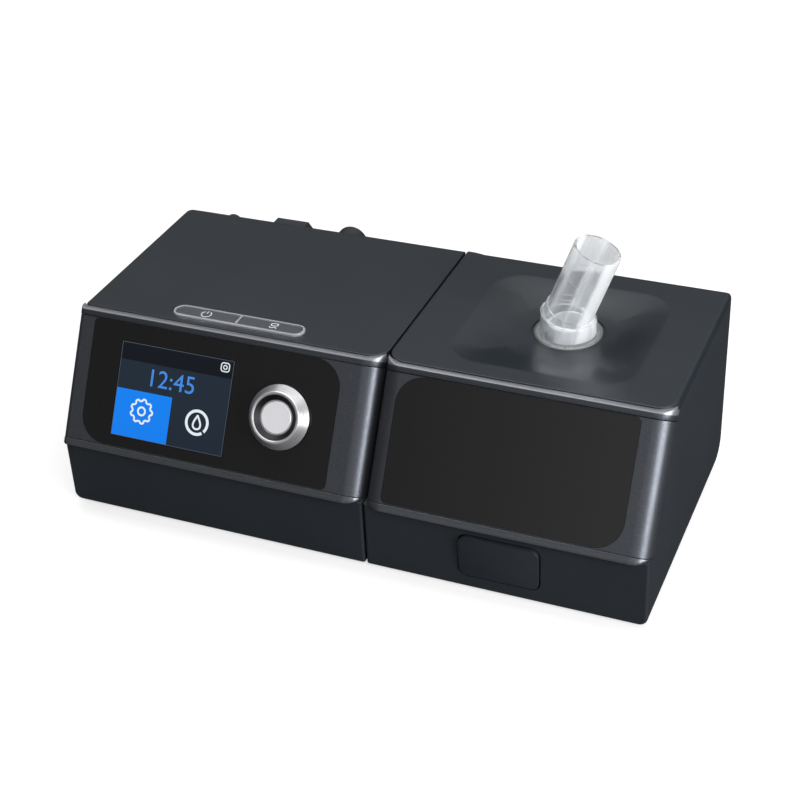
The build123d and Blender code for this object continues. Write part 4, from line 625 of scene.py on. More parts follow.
def dress_nodes(finishes: dict[str, Finish]) -> list[str]:
    """Dresses several CAD nodes.

    Args:
        finishes: the finish of each node.

    Returns:
        Names of the nodes.
    """
    for name, finish in finishes.items():
        dress_node(name, finish)
    return list(finishes)


def ease_edges(piece: bpy.types.Object, width: float, segments: int, angle: float) -> bpy.types.Modifier:
    """Rounds the sharp edges of a piece.

    Args:
        piece: the piece.
        width: width of the eased edge.
        segments: number of strips in it.
        angle: edges sharper than this many degrees are eased.

    Returns:
        The modifier.
    """
    bevel = piece.modifiers.new("eased edges", "BEVEL")
    bevel.width = width * MM
    bevel.segments = segments
    bevel.limit_method = "ANGLE"
    bevel.angle_limit = math.radians(angle)
    bevel.harden_normals = True
    return bevel


def eased_copy(
    name: str, node: str, body: str, finish: Finish, radius: float
) -> bpy.types.Object:
    """Replaces a CAD node with a merged copy whose sharp edges are eased.

    Triangles that lie in one plane are joined first, so that the bevel runs evenly along each edge.

    Args:
        name: name of the new piece.
        node: the CAD node that it replaces.
        body: the body that carries it.
        finish: its finish.
        radius: width of the eased edge.

    Returns:
        The new piece.
    """
    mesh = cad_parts[node].data.copy()
    work = bmesh.new()
    work.from_mesh(mesh)
    bmesh.ops.remove_doubles(work, verts=work.verts, dist=1e-6)
    bmesh.ops.dissolve_limit(work, angle_limit=math.radians(0.4), verts=work.verts, edges=work.edges)
    work.to_mesh(mesh)
    work.free()
    mesh.polygons.foreach_set("use_smooth", np.ones(len(mesh.polygons), dtype=bool))
    piece = place_piece(name, mesh, body, finish, (node,))
    ease_edges(piece, radius, 2, 32).miter_outer = "MITER_ARC"
    return piece


def place_piece(
    name: str, mesh: bpy.types.Mesh, body: str, finish: Finish, nodes: tuple[str, ...] = ()
) -> bpy.types.Object:
    """Makes an object of a finished mesh, at the origin, and lets it ride on its body.

    Args:
        name: name of the piece.
        mesh: its mesh, in place, in metres.
        body: the body that carries it.
        finish: its finish.
        nodes: CAD nodes that it replaces.

    Returns:
        The object.
    """
    piece = bpy.data.objects.new(name, mesh)
    bpy.context.scene.collection.objects.link(piece)
    mesh.materials.clear()
    mesh.materials.append(material_of(finish))
    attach(piece, body)
    if nodes:
        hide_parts(*nodes)
    return piece


def mesh_of(name: str, points: np.ndarray, faces: list, smooth: bool = True) -> bpy.types.Mesh:
    """Makes a mesh from points in millimetres, with its faces turned outwards.

    Args:
        name: name of the mesh.
        points: array of shape (count, 3).
        faces: lists of point numbers.
        smooth: whether the faces are shaded smooth.

    Returns:
        The mesh, in metres.
    """
    mesh = bpy.data.meshes.new(name)
    mesh.from_pydata((points * MM).tolist(), [], faces)
    work = bmesh.new()
    work.from_mesh(mesh)
    bmesh.ops.remove_doubles(work, verts=work.verts, dist=1e-7)
    bmesh.ops.recalc_face_normals(work, faces=work.faces)
    work.to_mesh(mesh)
    work.free()
    mesh.polygons.foreach_set("use_smooth", np.full(len(mesh.polygons), smooth))
    return mesh


def grid_faces(rows: int, columns: int, wrap_rows: bool = False, wrap_columns: bool = True) -> list:
    """Quads between the neighbours of a grid whose points are numbered row by row.

    Args:
        rows: number of rows.
        columns: number of columns.
        wrap_rows: whether the last row joins the first.
        wrap_columns: whether the last column joins the first.

    Returns:
        Lists of four point numbers.
    """
    row = np.arange(rows if wrap_rows else rows - 1)
    column = np.arange(columns if wrap_columns else columns - 1)
    a, b = np.meshgrid(row, column, indexing="ij")
    c = (a + 1) % rows
    d = (b + 1) % columns
    quads = np.stack([a * columns + b, a * columns + d, c * columns + d, c * columns + b], axis=-1)
    return quads.reshape(-1, 4).tolist()


def turned_points(profile: np.ndarray, count: int) -> np.ndarray:
    """Carries a profile round the local Z axis.

    Each row is one place round the axis: x = radius times cosine, y = radius times sine, z = height.

    Args:
        profile: radius and height of each profile point, shape (points, 2).
        count: number of places round the axis.

    Returns:
        Array of shape (count, points, 3).
    """
    angle = np.linspace(0, 2 * math.pi, count, endpoint=False)[:, None]
    radius = profile[None, :, 0]
    height = np.broadcast_to(profile[None, :, 1], (count, len(profile)))
    return np.stack([radius * np.cos(angle), radius * np.sin(angle), height], axis=-1)


def rounded_loop(corners: np.ndarray, radii: np.ndarray, steps: int, run: float) -> np.ndarray:
    """Closed outline of a rectangle whose corners have their own radii, counter-clockwise.

    Each corner is a quarter circle about a centre set in by its radius; the straight runs between
    them are divided evenly.

    Args:
        corners: left, low, right and high limits.
        radii: radii at left-low, right-low, right-high and left-high.
        steps: points in each quarter circle.
        run: greatest distance between points on the straight runs.

    Returns:
        Array of shape (count, 2).
    """
    left, low, right, high = corners
    centres = np.array(
        [
            [left + radii[0], low + radii[0]],
            [right - radii[1], low + radii[1]],
            [right - radii[2], high - radii[2]],
            [left + radii[3], high - radii[3]],
        ]
    )
    parts = []
    for k in range(4):
        angle = np.linspace(math.pi + k * math.pi / 2, math.pi * 1.5 + k * math.pi / 2, steps)
        parts.append(centres[k] + radii[k] * np.stack([np.cos(angle), np.sin(angle)], axis=-1))
    whole = []
    for k in range(4):
        whole.append(parts[k])
        start = parts[k][-1]
        end = parts[(k + 1) % 4][0]
        count = int(np.linalg.norm(end - start) // run)
        share = np.linspace(0, 1, count + 2)[1:-1, None]
        whole.append(start + (end - start) * share)
    return np.concatenate(whole)


def box_distance(x: np.ndarray, y: np.ndarray, centre: tuple, size: tuple, radius: float) -> np.ndarray:
    """Signed distance from a rounded rectangle, negative inside.

    It is the length of the part outside the corner centres, less the radius.

    Args:
        x: places along X.
        y: places along Y.
        centre: the rectangle's centre.
        size: its width and length.
        radius: its corner radius.

    Returns:
        Distances in the units given.
    """
    across = np.abs(x - centre[0]) - size[0] / 2 + radius
    along = np.abs(y - centre[1]) - size[1] / 2 + radius
    outside = np.hypot(np.maximum(across, 0), np.maximum(along, 0))
    return outside + np.minimum(np.maximum(across, along), 0) - radius


# Finishes of the object, each named for its material and how it was made
HOUSING = MouldedPlastic(
    "spark-eroded dark ABS", colour="1f2328", second="23272c", roughness=0.5, specular=0.35
)
COVER = MouldedPlastic("satin grey ABS", colour="1a1f24", second="1d2227", roughness=0.36)
LATCH = MouldedPlastic("satin dark ABS", colour="22262b", second="25292e", roughness=0.33)
FRONT = LacqueredPlastic(
    "dark grey metallic lacquer on ABS", colour="45484e", flake_colour="4f5258", roughness=0.38
)
TRIM = LacqueredPlastic("grey metallic lacquer on ABS", colour="4e5156", flake_colour="585b60")
# The upper strips: lacquer with a painted highlight along the top edge.
EDGED = LacqueredPlastic(
    "grey metallic lacquer with a bright-cut edge",
    colour="3f4248",
    flake_colour="484b51",
    roughness=0.42,
    bright="85878c",
    painted_highlight_width=0.35,
)
WINDOW = PolishedPlastic("polished black polycarbonate", colour="101011", roughness=0.2)
GLASS = PolishedPlastic("hardened black glass", colour="0a0d12", roughness=0.1, wave_depth=0.002)
BUTTON = MouldedPlastic("satin grey key ABS", colour="383b40", second="3c3f44", roughness=0.42)
MARK = MouldedPlastic("printed pale ink", colour="c4c7cc", second="cccfd4", roughness=0.5, grain=0.4)
RIM = FrostedPlastic("clear polycarbonate rim", colour="c9cbd0", roughness=0.2, clear=0.62)
FROSTED = FrostedPlastic("blasted clear polycarbonate", colour="e6e8ec", clear=0.1)
# The elbow's milky streaks along the tube are painted highlights.
CLEAR = ClearPlastic(
    "clear polycarbonate with painted highlight streaks",
    colour="f8fafc",
    clear=0.9,
    painted_streak_share=0.34,
    bend=1.3,
    centre=(*OUTLET, ELBOW_BEND_Z),
    tilt=ELBOW_TILT,
)
COLLAR = ClearPlastic("clear polycarbonate collar", colour="f4f6f8", roughness=0.08, clear=0.85, bend=1.4)
TUB = ClearPlastic("tinted clear polycarbonate", colour="dde5ec", roughness=0.08)
INNER = MouldedPlastic("plain black ABS", colour="1a1a1c", second="1e1e20", roughness=0.6)
BLOWER = MouldedPlastic("glass-filled nylon", colour="b7b9bc", second="c0c2c4", roughness=0.6)
IMPELLER = MouldedPlastic("white nylon", colour="d9d9d4", second="dededa", roughness=0.5)
MOTOR = MouldedPlastic("lacquered motor can", colour="333338", second="38383e", roughness=0.35)
RUBBER = SoftRubber("moulded black rubber")
SILICONE = SoftRubber("grey silicone", colour="9ea3a8", bloom="a8adb2", roughness=0.55)
FOAM = CellFoam("open-cell foam")
FILTER = CellFoam("white fibre pad", colour="c9cbcd", light="e4e5e6", cell=0.9, depth=0.2)
BOARD = CircuitBoard("green solder mask")
STEEL = WorkedMetal("brushed stainless steel", colour="a6a6a6", roughness=0.32)
HEATER = WorkedMetal("anodised aluminium", colour="9d9fa1", roughness=0.4)


@dataclass
class SlopingFront:
    """The plane that both modules' fronts lie in."""

    top_y: float = -45.4274
    body_height: float = 93.5
    lean: float = math.atan2(32.7, 57.5)

    def place(self, x: np.ndarray, down: np.ndarray, out: np.ndarray) -> np.ndarray:
        """Turns places on the slope into the model's frame.

        Args:
            x: along X.
            down: down the slope from its top edge.
            out: out of the slope.

        Returns:
            Array whose last axis holds x, y and z.
        """
        x, down, out = np.broadcast_arrays(x, down, out)
        y = self.top_y - down * math.sin(self.lean) - out * math.cos(self.lean)
        z = self.body_height - down * math.cos(self.lean) + out * math.sin(self.lean)
        return np.stack([x, y, z], axis=-1)

    def plate(self, outline: np.ndarray, low: float, high: float) -> tuple[np.ndarray, list]:
        """A flat plate on the slope: the outline at two levels, closed by a face at each.

        Args:
            outline: x and down of each point, shape (count, 2).
            low: level of its back.
            high: level of its face.

        Returns:
            Points and faces.
        """
        count = len(outline)
        back = self.place(outline[:, 0], outline[:, 1], np.full(count, low))
        face = self.place(outline[:, 0], outline[:, 1], np.full(count, high))
        faces = grid_faces(2, count) + [list(range(count)), list(range(2 * count - 1, count - 1, -1))]
        return np.concatenate([back, face]), faces


@dataclass
class LevelTop:
    """Level planes over the top cover, placed by X, Y and height."""

    def place(self, x: np.ndarray, y: np.ndarray, height: np.ndarray) -> np.ndarray:
        """Stacks places that are in the model's frame already."""
        return np.stack(np.broadcast_arrays(x, y, height), axis=-1)


SLOPE = SlopingFront()
TOP = LevelTop()


def drawn_line(
    plane: SlopingFront | LevelTop, path: np.ndarray, width: float, low: float, high: float, closed: bool
) -> tuple[np.ndarray, list]:
    """A flat line of even width and thickness along a path on a plane.

    Its edges lie half the width to either side, square to the run between each point's neighbours.

    Args:
        plane: plane that it lies on.
        path: two coordinates of each point on the plane.
        width: width of the line.
        low: level of its back.
        high: level of its face.
        closed: whether the last point joins the first.

    Returns:
        Points and faces.
    """
    count = len(path)
    if closed:
        run = np.roll(path, -1, axis=0) - np.roll(path, 1, axis=0)
    else:
        run = np.gradient(path, axis=0)
    side = np.stack([-run[:, 1], run[:, 0]], axis=1)
    side *= width / 2 / np.linalg.norm(run, axis=1, keepdims=True)
    rows = [
        plane.place(edge[:, 0], edge[:, 1], np.full(count, level))
        for edge, level in ((path - side, low), (path + side, low), (path + side, high), (path - side, high))
    ]
    faces = grid_faces(4, count, wrap_rows=True, wrap_columns=closed)
    if not closed:
        first = [0, count, 2 * count, 3 * count]
        faces += [first, [place + count - 1 for place in reversed(first)]]
    return np.concatenate(rows), faces


def arc_path(x: float, y: float, radius: float, start: float, end: float, count: int) -> np.ndarray:
    """Points along an arc about (x, y), from one angle to another in degrees."""
    angle = np.radians(np.linspace(start, end, count))
    return np.stack([x + radius * np.cos(angle), y + radius * np.sin(angle)], axis=1)


@dataclass
class FlowUnit:
    """The left module's fixed shell pieces and what they carry."""

    body: str = "main_unit"
    strip_edge: float = 0.7

    def build(self) -> list[str]:
        """Dresses the shell and the pieces inside it.

        Returns:
            Names of the pieces.
        """
        eased_copy("unit_upper_strip", "unit_trim_top", self.body, EDGED, self.strip_edge)
        eased_copy("unit_lower_strip", "unit_trim_bottom", self.body, TRIM, self.strip_edge)
        finishes = {
            "unit_base": HOUSING,
            "unit_top_cover": COVER,
            "unit_front_frame": FRONT,
            "unit_window": WINDOW,
            "display_module": INNER,
            "front_board": BOARD,
            "encoder_body": STEEL,
            "main_board": BOARD,
            "blower_lower": BLOWER,
            "blower_upper": BLOWER,
            "blower_motor": MOTOR,
            "blower_mounts": SILICONE,
            "duct_boot": SILICONE,
            "air_nozzle": INNER,
            "sound_foam": FOAM,
            "air_filter": FILTER,
            "filter_hinge_pin": STEEL,
            "power_inlet": INNER,
            "data_port_cap": RUBBER,
            "button_board": BOARD,
            "dock_plug": INNER,
            "unit_feet": RUBBER,
            "unit_screws": STEEL,
            "impeller": IMPELLER,
            "motor_shaft": STEEL,
            "filter_cover": HOUSING,
            "encoder_plunger": STEEL,
            "encoder_shaft": STEEL,
        }
        return ["unit_upper_strip", "unit_lower_strip", *dress_nodes(finishes)]


@dataclass
class Display:
    """The lit screen: glass, header, tiles, a clock and plain symbols."""

    body: str = "main_unit"
    left: float = -119.55
    right: float = -59.85
    top: float = 11.7
    bottom: float = 57.1
    edge: float = 0.35
    header_end: float = 20.3
    tile_top: float = 34.1
    tile_right: float = -89.5
    level: float = -0.13
    layer: float = 0.02
    gear: tuple[float, float] = (-104.6, 43.4)
    gear_radius: float = 5.3
    hub_radius: float = 1.9
    info: tuple[float, float] = (-75.0, 43.4)
    info_radius: float = 5.5
    drop_height: float = 6.6
    status: tuple[float, float, float, float] = (-66.5, 13.4, -62.3, 17.4)
    clock_place: tuple[float, float] = (-104.3, 30.8)
    clock_height: float = 8.6
    digit_share: float = 0.73
    header: LitPixels = LitPixels("lit header", colour="060b14", end="090f19", low=74.0, high=84.0)
    ground: LitPixels = LitPixels("lit ground", colour="1a2531", end="1c2835", low=46.0, high=76.0)
    tile: LitPixels = LitPixels("lit blue tile", colour="0b7cec", end="0a80f0", low=44.0, high=66.0)
    line: LitPixels = LitPixels("lit grey line", colour="454e58", end="4a545f")
    digit: LitPixels = LitPixels("lit digits", colour="3f86dc", end="4790e6")
    white: LitPixels = LitPixels("lit white symbol", colour="e4edf5", end="e4edf5")

    def sheet(self, name: str, outline: np.ndarray, layer: int, finish: Finish) -> str:
        """Adds one thin layer of the picture.

        Args:
            name: name of the piece.
            outline: x and down of its edge.
            layer: how many layers lie under it.
            finish: its finish.

        Returns:
            The piece's name.
        """
        low = self.level + layer * self.layer
        points, faces = SLOPE.plate(outline, low, low + self.layer)
        place_piece(name, mesh_of(name, points, faces, False), self.body, finish)
        return name

    def rectangle(self, limits: tuple[float, float, float, float], radius: float = 0.2) -> np.ndarray:
        """Outline of a rounded rectangle on the screen, by its left, top, right and bottom."""
        return rounded_loop(np.array(limits), np.full(4, radius), 5, 100.0)

    def line_piece(self, name: str, path: np.ndarray, width: float, closed: bool, finish: Finish) -> str:
        """Adds a symbol's line, one layer above the tiles.

        Args:
            name: name of the piece.
            path: x and down of its points.
            width: width of the line.
            closed: whether its ends join.
            finish: its finish.

        Returns:
            The piece's name.
        """
        low = self.level + 2 * self.layer
        shape = drawn_line(SLOPE, path, width, low, low + self.layer, closed)
        place_piece(name, mesh_of(name, *shape, smooth=False), self.body, finish)
        return name

    def gear_path(self, x: float, down: float, radius: float, teeth: int) -> np.ndarray:
        """Outline of a gear with soft teeth.

        The radius swings by a tenth either way as a flattened cosine of the tooth angle.

        Args:
            x: its centre along X.
            down: its centre down the slope.
            radius: middle radius of the outline.
            teeth: number of teeth.

        Returns:
            Array of shape (count, 2).
        """
        angle = np.linspace(0, 2 * math.pi, 240, endpoint=False)
        reach = radius * (1 + 0.1 * np.tanh(1.8 * np.cos(teeth * angle)))
        return np.stack([x + reach * np.cos(angle), down + reach * np.sin(angle)], axis=1)

    def drop_path(self, x: float, down: float, height: float) -> np.ndarray:
        """Outline of a water drop with its tip up.

        Down runs as the cosine of the angle, and across as its sine times a power of the half
        angle's sine, which draws the top in.

        Args:
            x: its centre along X.
            down: its middle down the slope.
            height: height of the drop.

        Returns:
            Array of shape (count, 2).
        """
        angle = np.linspace(0, 2 * math.pi, 81, endpoint=False)[1:]
        across = 0.42 * height * np.sin(angle) * np.sin(angle / 2) ** 1.5
        return np.stack([x + across, down - 0.5 * height * np.cos(angle)], axis=1)

    def clock(self, words: str, x: float, down: float, height: float) -> str:
        """Writes the clock in plain digits of Blender's own typeface.

        Args:
            words: what the clock says.
            x: left end of the digits.
            down: their baseline, down the slope.
            height: their height.

        Returns:
            The piece's name.
        """
        text = bpy.data.curves.new("clock text", "FONT")
        text.body = words
        text.size = height / self.digit_share
        text.resolution_u = 6
        holder = bpy.data.objects.new("clock text", text)
        bpy.context.scene.collection.objects.link(holder)
        flat = bpy.data.meshes.new_from_object(holder)
        bpy.data.objects.remove(holder)
        places = np.empty(len(flat.vertices) * 3)
        flat.vertices.foreach_get("co", places)
        places = places.reshape(-1, 3)
        level = np.full(len(places), self.level + 3 * self.layer)
        moved = SLOPE.place(x + places[:, 0], down - places[:, 1], level) * MM
        flat.vertices.foreach_set("co", moved.ravel())
        flat.name = "clock_digits"
        flat.update()
        place_piece("clock_digits", flat, self.body, self.digit)
        return "clock_digits"

    def build(self) -> list[str]:
        """Builds the glass and the picture's layers.

        Returns:
            Names of the pieces.
        """
        dress_node("display_glass", GLASS)
        left, right = self.left + self.edge, self.right - self.edge
        top, bottom = self.top + self.edge, self.bottom - self.edge
        border = self.rectangle((left, top, right, bottom))
        header = self.rectangle((left, top, right, self.header_end))
        tile = self.rectangle((left, self.tile_top, self.tile_right, bottom))
        status = self.rectangle(self.status, 1.1)
        dot_x, dot_down = (self.status[0] + self.status[2]) / 2, (self.status[1] + self.status[3]) / 2
        dot = arc_path(dot_x, dot_down, 0.9, 0, 340, 30)
        hub = arc_path(*self.gear, self.hub_radius, 0, 354, 60)
        ring = arc_path(*self.info, self.info_radius, 55, 403, 100)
        drop = self.drop_path(self.info[0], self.info[1] - 0.2, self.drop_height)
        gear = self.gear_path(*self.gear, self.gear_radius, 9)
        return [
            "display_glass",
            self.sheet("screen_ground", border, 0, self.ground),
            self.sheet("screen_header", header, 1, self.header),
            self.sheet("screen_blue_tile", tile, 1, self.tile),
            self.line_piece("screen_border", border, 0.3, True, self.line),
            self.line_piece("symbol_gear", gear, 0.9, True, self.white),
            self.line_piece("symbol_gear_hub", hub, 0.9, True, self.white),
            self.line_piece("symbol_ring", ring, 1.35, False, self.white),
            self.line_piece("symbol_drop", drop, 0.9, True, self.white),
            self.line_piece("symbol_status", status, 0.55, True, self.white),
            self.line_piece("symbol_status_mark", dot, 0.5, True, self.white),
            self.clock("12:45", *self.clock_place, self.clock_height),
        ]


@dataclass
class ControlKnob:
    """The turned knob: a brushed cone with a bright lip, a dark sheet of painted shade in its groove and a
    satin disc.
    """

    body: str = "control_knob"
    x: float = -33.5
    down: float = 33.2
    base: float = 15.2
    lip: float = 11.9
    height: float = 6.1
    lift: float = 0.9
    cap: float = 7.5
    recess: float = 1.5

    def turned(self, profile: list, name: str, node: str, slot: str, finish: Finish) -> str:
        """Turns a closed profile about the knob's axis, in place of a CAD node if one is named.

        Args:
            profile: pairs of radius and height out of the slope.
            name: name of the piece.
            node: the CAD node that it replaces, or an empty name.
            slot: not used.
            finish: its finish.

        Returns:
            The piece's name.
        """
        shape = np.array(profile)
        local = turned_points(shape, 128)
        points = SLOPE.place(self.x + local[..., 0], self.down - local[..., 1], local[..., 2])
        faces = grid_faces(128, len(shape), wrap_rows=True, wrap_columns=True)
        mesh = mesh_of(name, points.reshape(-1, 3), faces)
        piece = place_piece(name, mesh, self.body, finish, (node,) if node else ())
        ease_edges(piece, 0.12, 3, 20)
        return name

    def build(self) -> list[str]:
        """Builds the cone and the disc.

        Returns:
            Names of the pieces.
        """
        centre = tuple(SLOPE.place(self.x, self.down, 0.0))
        tilt = math.pi / 2 - SLOPE.lean
        brushed = WorkedMetal(
            "turned and brushed aluminium", "dadadd", 0.28, Lay.RINGS, 0.6, 0.01, centre, tilt, 0.85
        )
        satin = WorkedMetal(
            "satin spun aluminium", "e0e0e4", 0.42, Lay.RINGS, 0.4, 0.006, centre, tilt, 0.4
        )
        web = self.lift + 1.5
        cone = [
            (3.0, self.lift + 0.7),
            (5.2, self.lift + 0.7),
            (5.2, web),
            (self.base - 2.0, web),
            (self.base - 2.0, self.lift),
            (self.base - 0.3, self.lift),
            (self.base, self.lift + 0.3),
            (self.lip + 0.2, self.height - 0.2),
            (self.lip - 0.1, self.height),
            (self.lip - 0.8, self.height),
            (self.cap + 0.6, self.height - self.recess - 0.4),
            (self.cap + 0.6, web + 1.0),
            (3.0, web + 1.0),
        ]
        disc = [
            (0.0, web + 1.0),
            (self.cap, web + 1.0),
            (self.cap, self.height - self.recess - 0.3),
            (self.cap - 0.3, self.height - self.recess),
            (0.0, self.height - self.recess),
        ]
        self.turned(cone, "knob_cone", "knob", "knob_metal", brushed)
        # A dark sheet just over the groove's slope is painted shade in the recess between lip and disc.
        dark = WorkedMetal("dark sheet of painted groove shade", "3c3c3e", 0.4, Lay.RINGS, 0.5, 0.008, centre, tilt)
        slope = np.array([[self.lip - 1.3, self.height - 0.32], [self.cap + 0.6, cone[10][1]]])
        square = np.array([-0.535, 0.845])  # unit vector square to that slope
        groove = [*(slope + 0.06 * square), *(slope[::-1] - 0.3 * square)]
        self.turned(groove, "knob_groove", "", "knob_metal", dark)
        shape = np.array(disc)
        local = turned_points(shape[1:-1], 128)
        points = SLOPE.place(self.x + local[..., 0], self.down - local[..., 1], local[..., 2]).reshape(-1, 3)
        faces = grid_faces(128, 3, wrap_rows=True, wrap_columns=False)
        faces.append(list(range(0, 384, 3)))
        faces.append(list(range(2, 384, 3))[::-1])
        piece = place_piece(
            "knob_disc", mesh_of("knob_disc", points, faces), self.body, satin, ("knob_cap",)
        )
        ease_edges(piece, 0.1, 2, 30)
        return ["knob_cone", "knob_groove", "knob_disc"]


@dataclass
class ButtonBar:
    """The clear surround on the top cover, the two keys in it and the marks printed on them."""

    body: str = "main_unit"
    y: float = -33.3
    key_top: float = 94.2
    ink: float = 0.04
    line: float = 0.5
    power_x: float = -83.0
    ramp_x: float = -47.8

    def mark(self, name: str, body: str, path: np.ndarray, closed: bool) -> str:
        """Prints a line on a key.

        Args:
            name: name of the piece.
            body: the key that carries it.
            path: X and Y of its points.
            closed: whether its ends join.

        Returns:
            The piece's name.
        """
        low = self.key_top - 0.01
        shape = drawn_line(TOP, path, self.line, low, self.key_top + self.ink, closed)
        place_piece(name, mesh_of(name, *shape, smooth=False), body, MARK)
        return name

    def build(self) -> list[str]:
        """Dresses the surround and the keys, and prints plain marks on the keys.

        Returns:
            Names of the pieces.
        """
        dress_node("button_surround", RIM)
        dress_node("power_button", BUTTON)
        dress_node("ramp_button", BUTTON)
        x, y = self.power_x, self.y
        across = np.linspace(-2.0, 2.0, 12)
        wave = np.stack([self.ramp_x + across, y - 1.2 + 0.45 * np.sin(across * 2.2)], axis=1)
        bar = np.stack([np.full(8, x), np.linspace(y + 0.6, y + 2.6, 8)], axis=1)
        limits = np.array([self.ramp_x - 1.7, y + 0.3, self.ramp_x + 1.7, y + 2.3])
        pad = rounded_loop(limits, np.full(4, 0.8), 6, 9.0)
        arc = arc_path(x, y, 2.4, 125, 415, 60)
        return [
            "button_surround",
            "power_button",
            "ramp_button",
            self.mark("power_mark_arc", "power_button", arc, False),
            self.mark("power_mark_bar", "power_button", bar, False),
            self.mark("ramp_mark_pad", "ramp_button", pad, True),
            self.mark("ramp_mark_wave", "ramp_button", wave, False),
        ]


@dataclass
class Humidifier:
    """The right module's fixed pieces, with its dished top cover."""

    body: str = "humidifier"
    left: float = 11.9
    right: float = 145.0
    front: float = -41.8663
    rear: float = 64.4726
    top: float = 93.5
    thickness: float = 2.6
    front_radius: float = 9.0
    seam_radius: float = 1.2
    outer_radius: float = 4.0
    joint_edge: float = 0.5
    outer_edge: float = 2.0
    ring: tuple[float, float] = OUTLET
    hole: float = 14.7
    recess: float = 17.3
    recess_depth: float = 0.5
    dish_centre: tuple[float, float] = (78.45, 9.0)
    dish_size: tuple[float, float] = (87.0, 82.0)
    floor_size: tuple[float, float] = (50.0, 46.0)
    dish_radius: float = 16.0
    dish_depth: float = 5.0

    def dish(self, x: np.ndarray, y: np.ndarray) -> np.ndarray:
        """Depth of the dish below the cover's top.

        A share runs from 0 at the outlet to 1 on the rim's rounded rectangle, as the distance from the
        floor over the sum of both distances, and is eased at both ends. The distance from the floor
        is the mean of those from its rounded rectangle and from the outlet's ring, so that the dish
        falls softly towards the outlet.

        Args:
            x: places along X.
            y: places along Y.

        Returns:
            Depths, 0 outside the rim.
        """
        from_floor = np.maximum(box_distance(x, y, self.dish_centre, self.floor_size, self.dish_radius), 0)
        from_ring = np.maximum(np.hypot(x - self.ring[0], y - self.ring[1]) - self.recess - 1.0, 0)
        from_floor = 0.5 * (from_floor + from_ring)
        to_rim = np.maximum(-box_distance(x, y, self.dish_centre, self.dish_size, self.dish_radius), 0)
        share = from_floor / np.maximum(from_floor + to_rim, 1e-6)
        eased = share * share * (3 - 2 * share)
        blend = 0.4 * eased + 0.6 * share
        return self.dish_depth * (1 - blend)

    def cover(self) -> str:
        """Builds the dished cover as rings from the outlet's hole to the rounded edge and back below.

        Each ring point lies on the straight line from the hole's circle to a point of the outline,
        drawn in by the edge's radius; its height is the top less the dish's depth. The radius goes
        from the small one at the front and the seam to the large one at the back and outer side.

        Returns:
            The piece's name.
        """
        limits = np.array([self.left, self.front, self.right, self.rear])
        radii = np.array([self.front_radius, self.front_radius, self.outer_radius, self.seam_radius])
        outline = rounded_loop(limits, radii, 14, 1.6)
        run = np.roll(outline, -1, axis=0) - np.roll(outline, 1, axis=0)
        outward = np.stack([run[:, 1], -run[:, 0]], axis=1) / np.linalg.norm(run, axis=1, keepdims=True)
        soft = np.clip(np.maximum(outward[:, 0], outward[:, 1]), 0, 1)[:, None]
        soft = soft * np.clip((outline[:, :1] - self.left - self.seam_radius) / 8, 0, 1)
        edge = self.joint_edge + (self.outer_edge - self.joint_edge) * soft**2
        centre = np.array(self.ring)
        drawn_in = outline - outward * edge
        ray = (drawn_in - centre) / np.linalg.norm(drawn_in - centre, axis=1, keepdims=True)
        floor_level = self.top - self.dish_depth - self.recess_depth

        def ring_at(flat: np.ndarray, height: np.ndarray | float) -> np.ndarray:
            """Points over flat places at the given heights."""
            return np.column_stack([flat, np.broadcast_to(height, len(flat))])

        def surface(share: float, drop: float) -> np.ndarray:
            """A ring on the dished surface, lowered by a drop."""
            flat = (1 - share) * (centre + self.recess * ray) + share * drawn_in
            return ring_at(flat, self.top - self.dish(flat[:, 0], flat[:, 1]) - drop)

        rows = [
            ring_at(centre + self.hole * ray, floor_level - self.thickness + 0.6),
            ring_at(centre + self.hole * ray, floor_level),
            ring_at(centre + self.recess * ray, floor_level),
        ]
        rows += [surface(share, 0.0) for share in np.linspace(0, 1, 72)]
        turn = np.linspace(0, math.pi / 2, 7)[1:]
        rows += [
            ring_at(drawn_in + outward * edge * math.sin(a), self.top - edge[:, 0] * (1 - math.cos(a)))
            for a in turn
        ]
        rows.append(ring_at(outline, self.top - self.thickness))
        rows += [surface(share, self.thickness) for share in np.linspace(1, 0, 28)]
        points = np.concatenate(rows)
        faces = grid_faces(len(rows), len(outline), wrap_rows=True)
        mesh = mesh_of("humidifier_cover_plate", points, faces)
        piece = place_piece(
            "humidifier_cover_plate", mesh, self.body, COVER, ("humidifier_top_cover",)
        )
        sharp = piece.modifiers.new("sharp edges", "EDGE_SPLIT")
        sharp.split_angle = math.radians(40)
        return "humidifier_cover_plate"

    def build(self) -> list[str]:
        """Builds the cover and dresses the rest.

        Returns:
            Names of the pieces.
        """
        names = [self.cover()]
        eased_copy("latch_key", "latch_tab", "latch", LATCH, 0.5)
        finishes = {
            "humidifier_base": HOUSING,
            "humidifier_bottom": HOUSING,
            "outlet_spigot": FROSTED,
            "outlet_gasket": SILICONE,
            "inlet_gasket": SILICONE,
            "heater_plate": HEATER,
            "heater_springs": STEEL,
            "heater_board": BOARD,
            "dock_socket": INNER,
            "humidifier_feet": RUBBER,
            "humidifier_screws": STEEL,
            "latch_pin": STEEL,
            "outlet_socket": COLLAR,
            "outlet_elbow": CLEAR,
        }
        return [*names, "latch_key", *dress_nodes(finishes)]


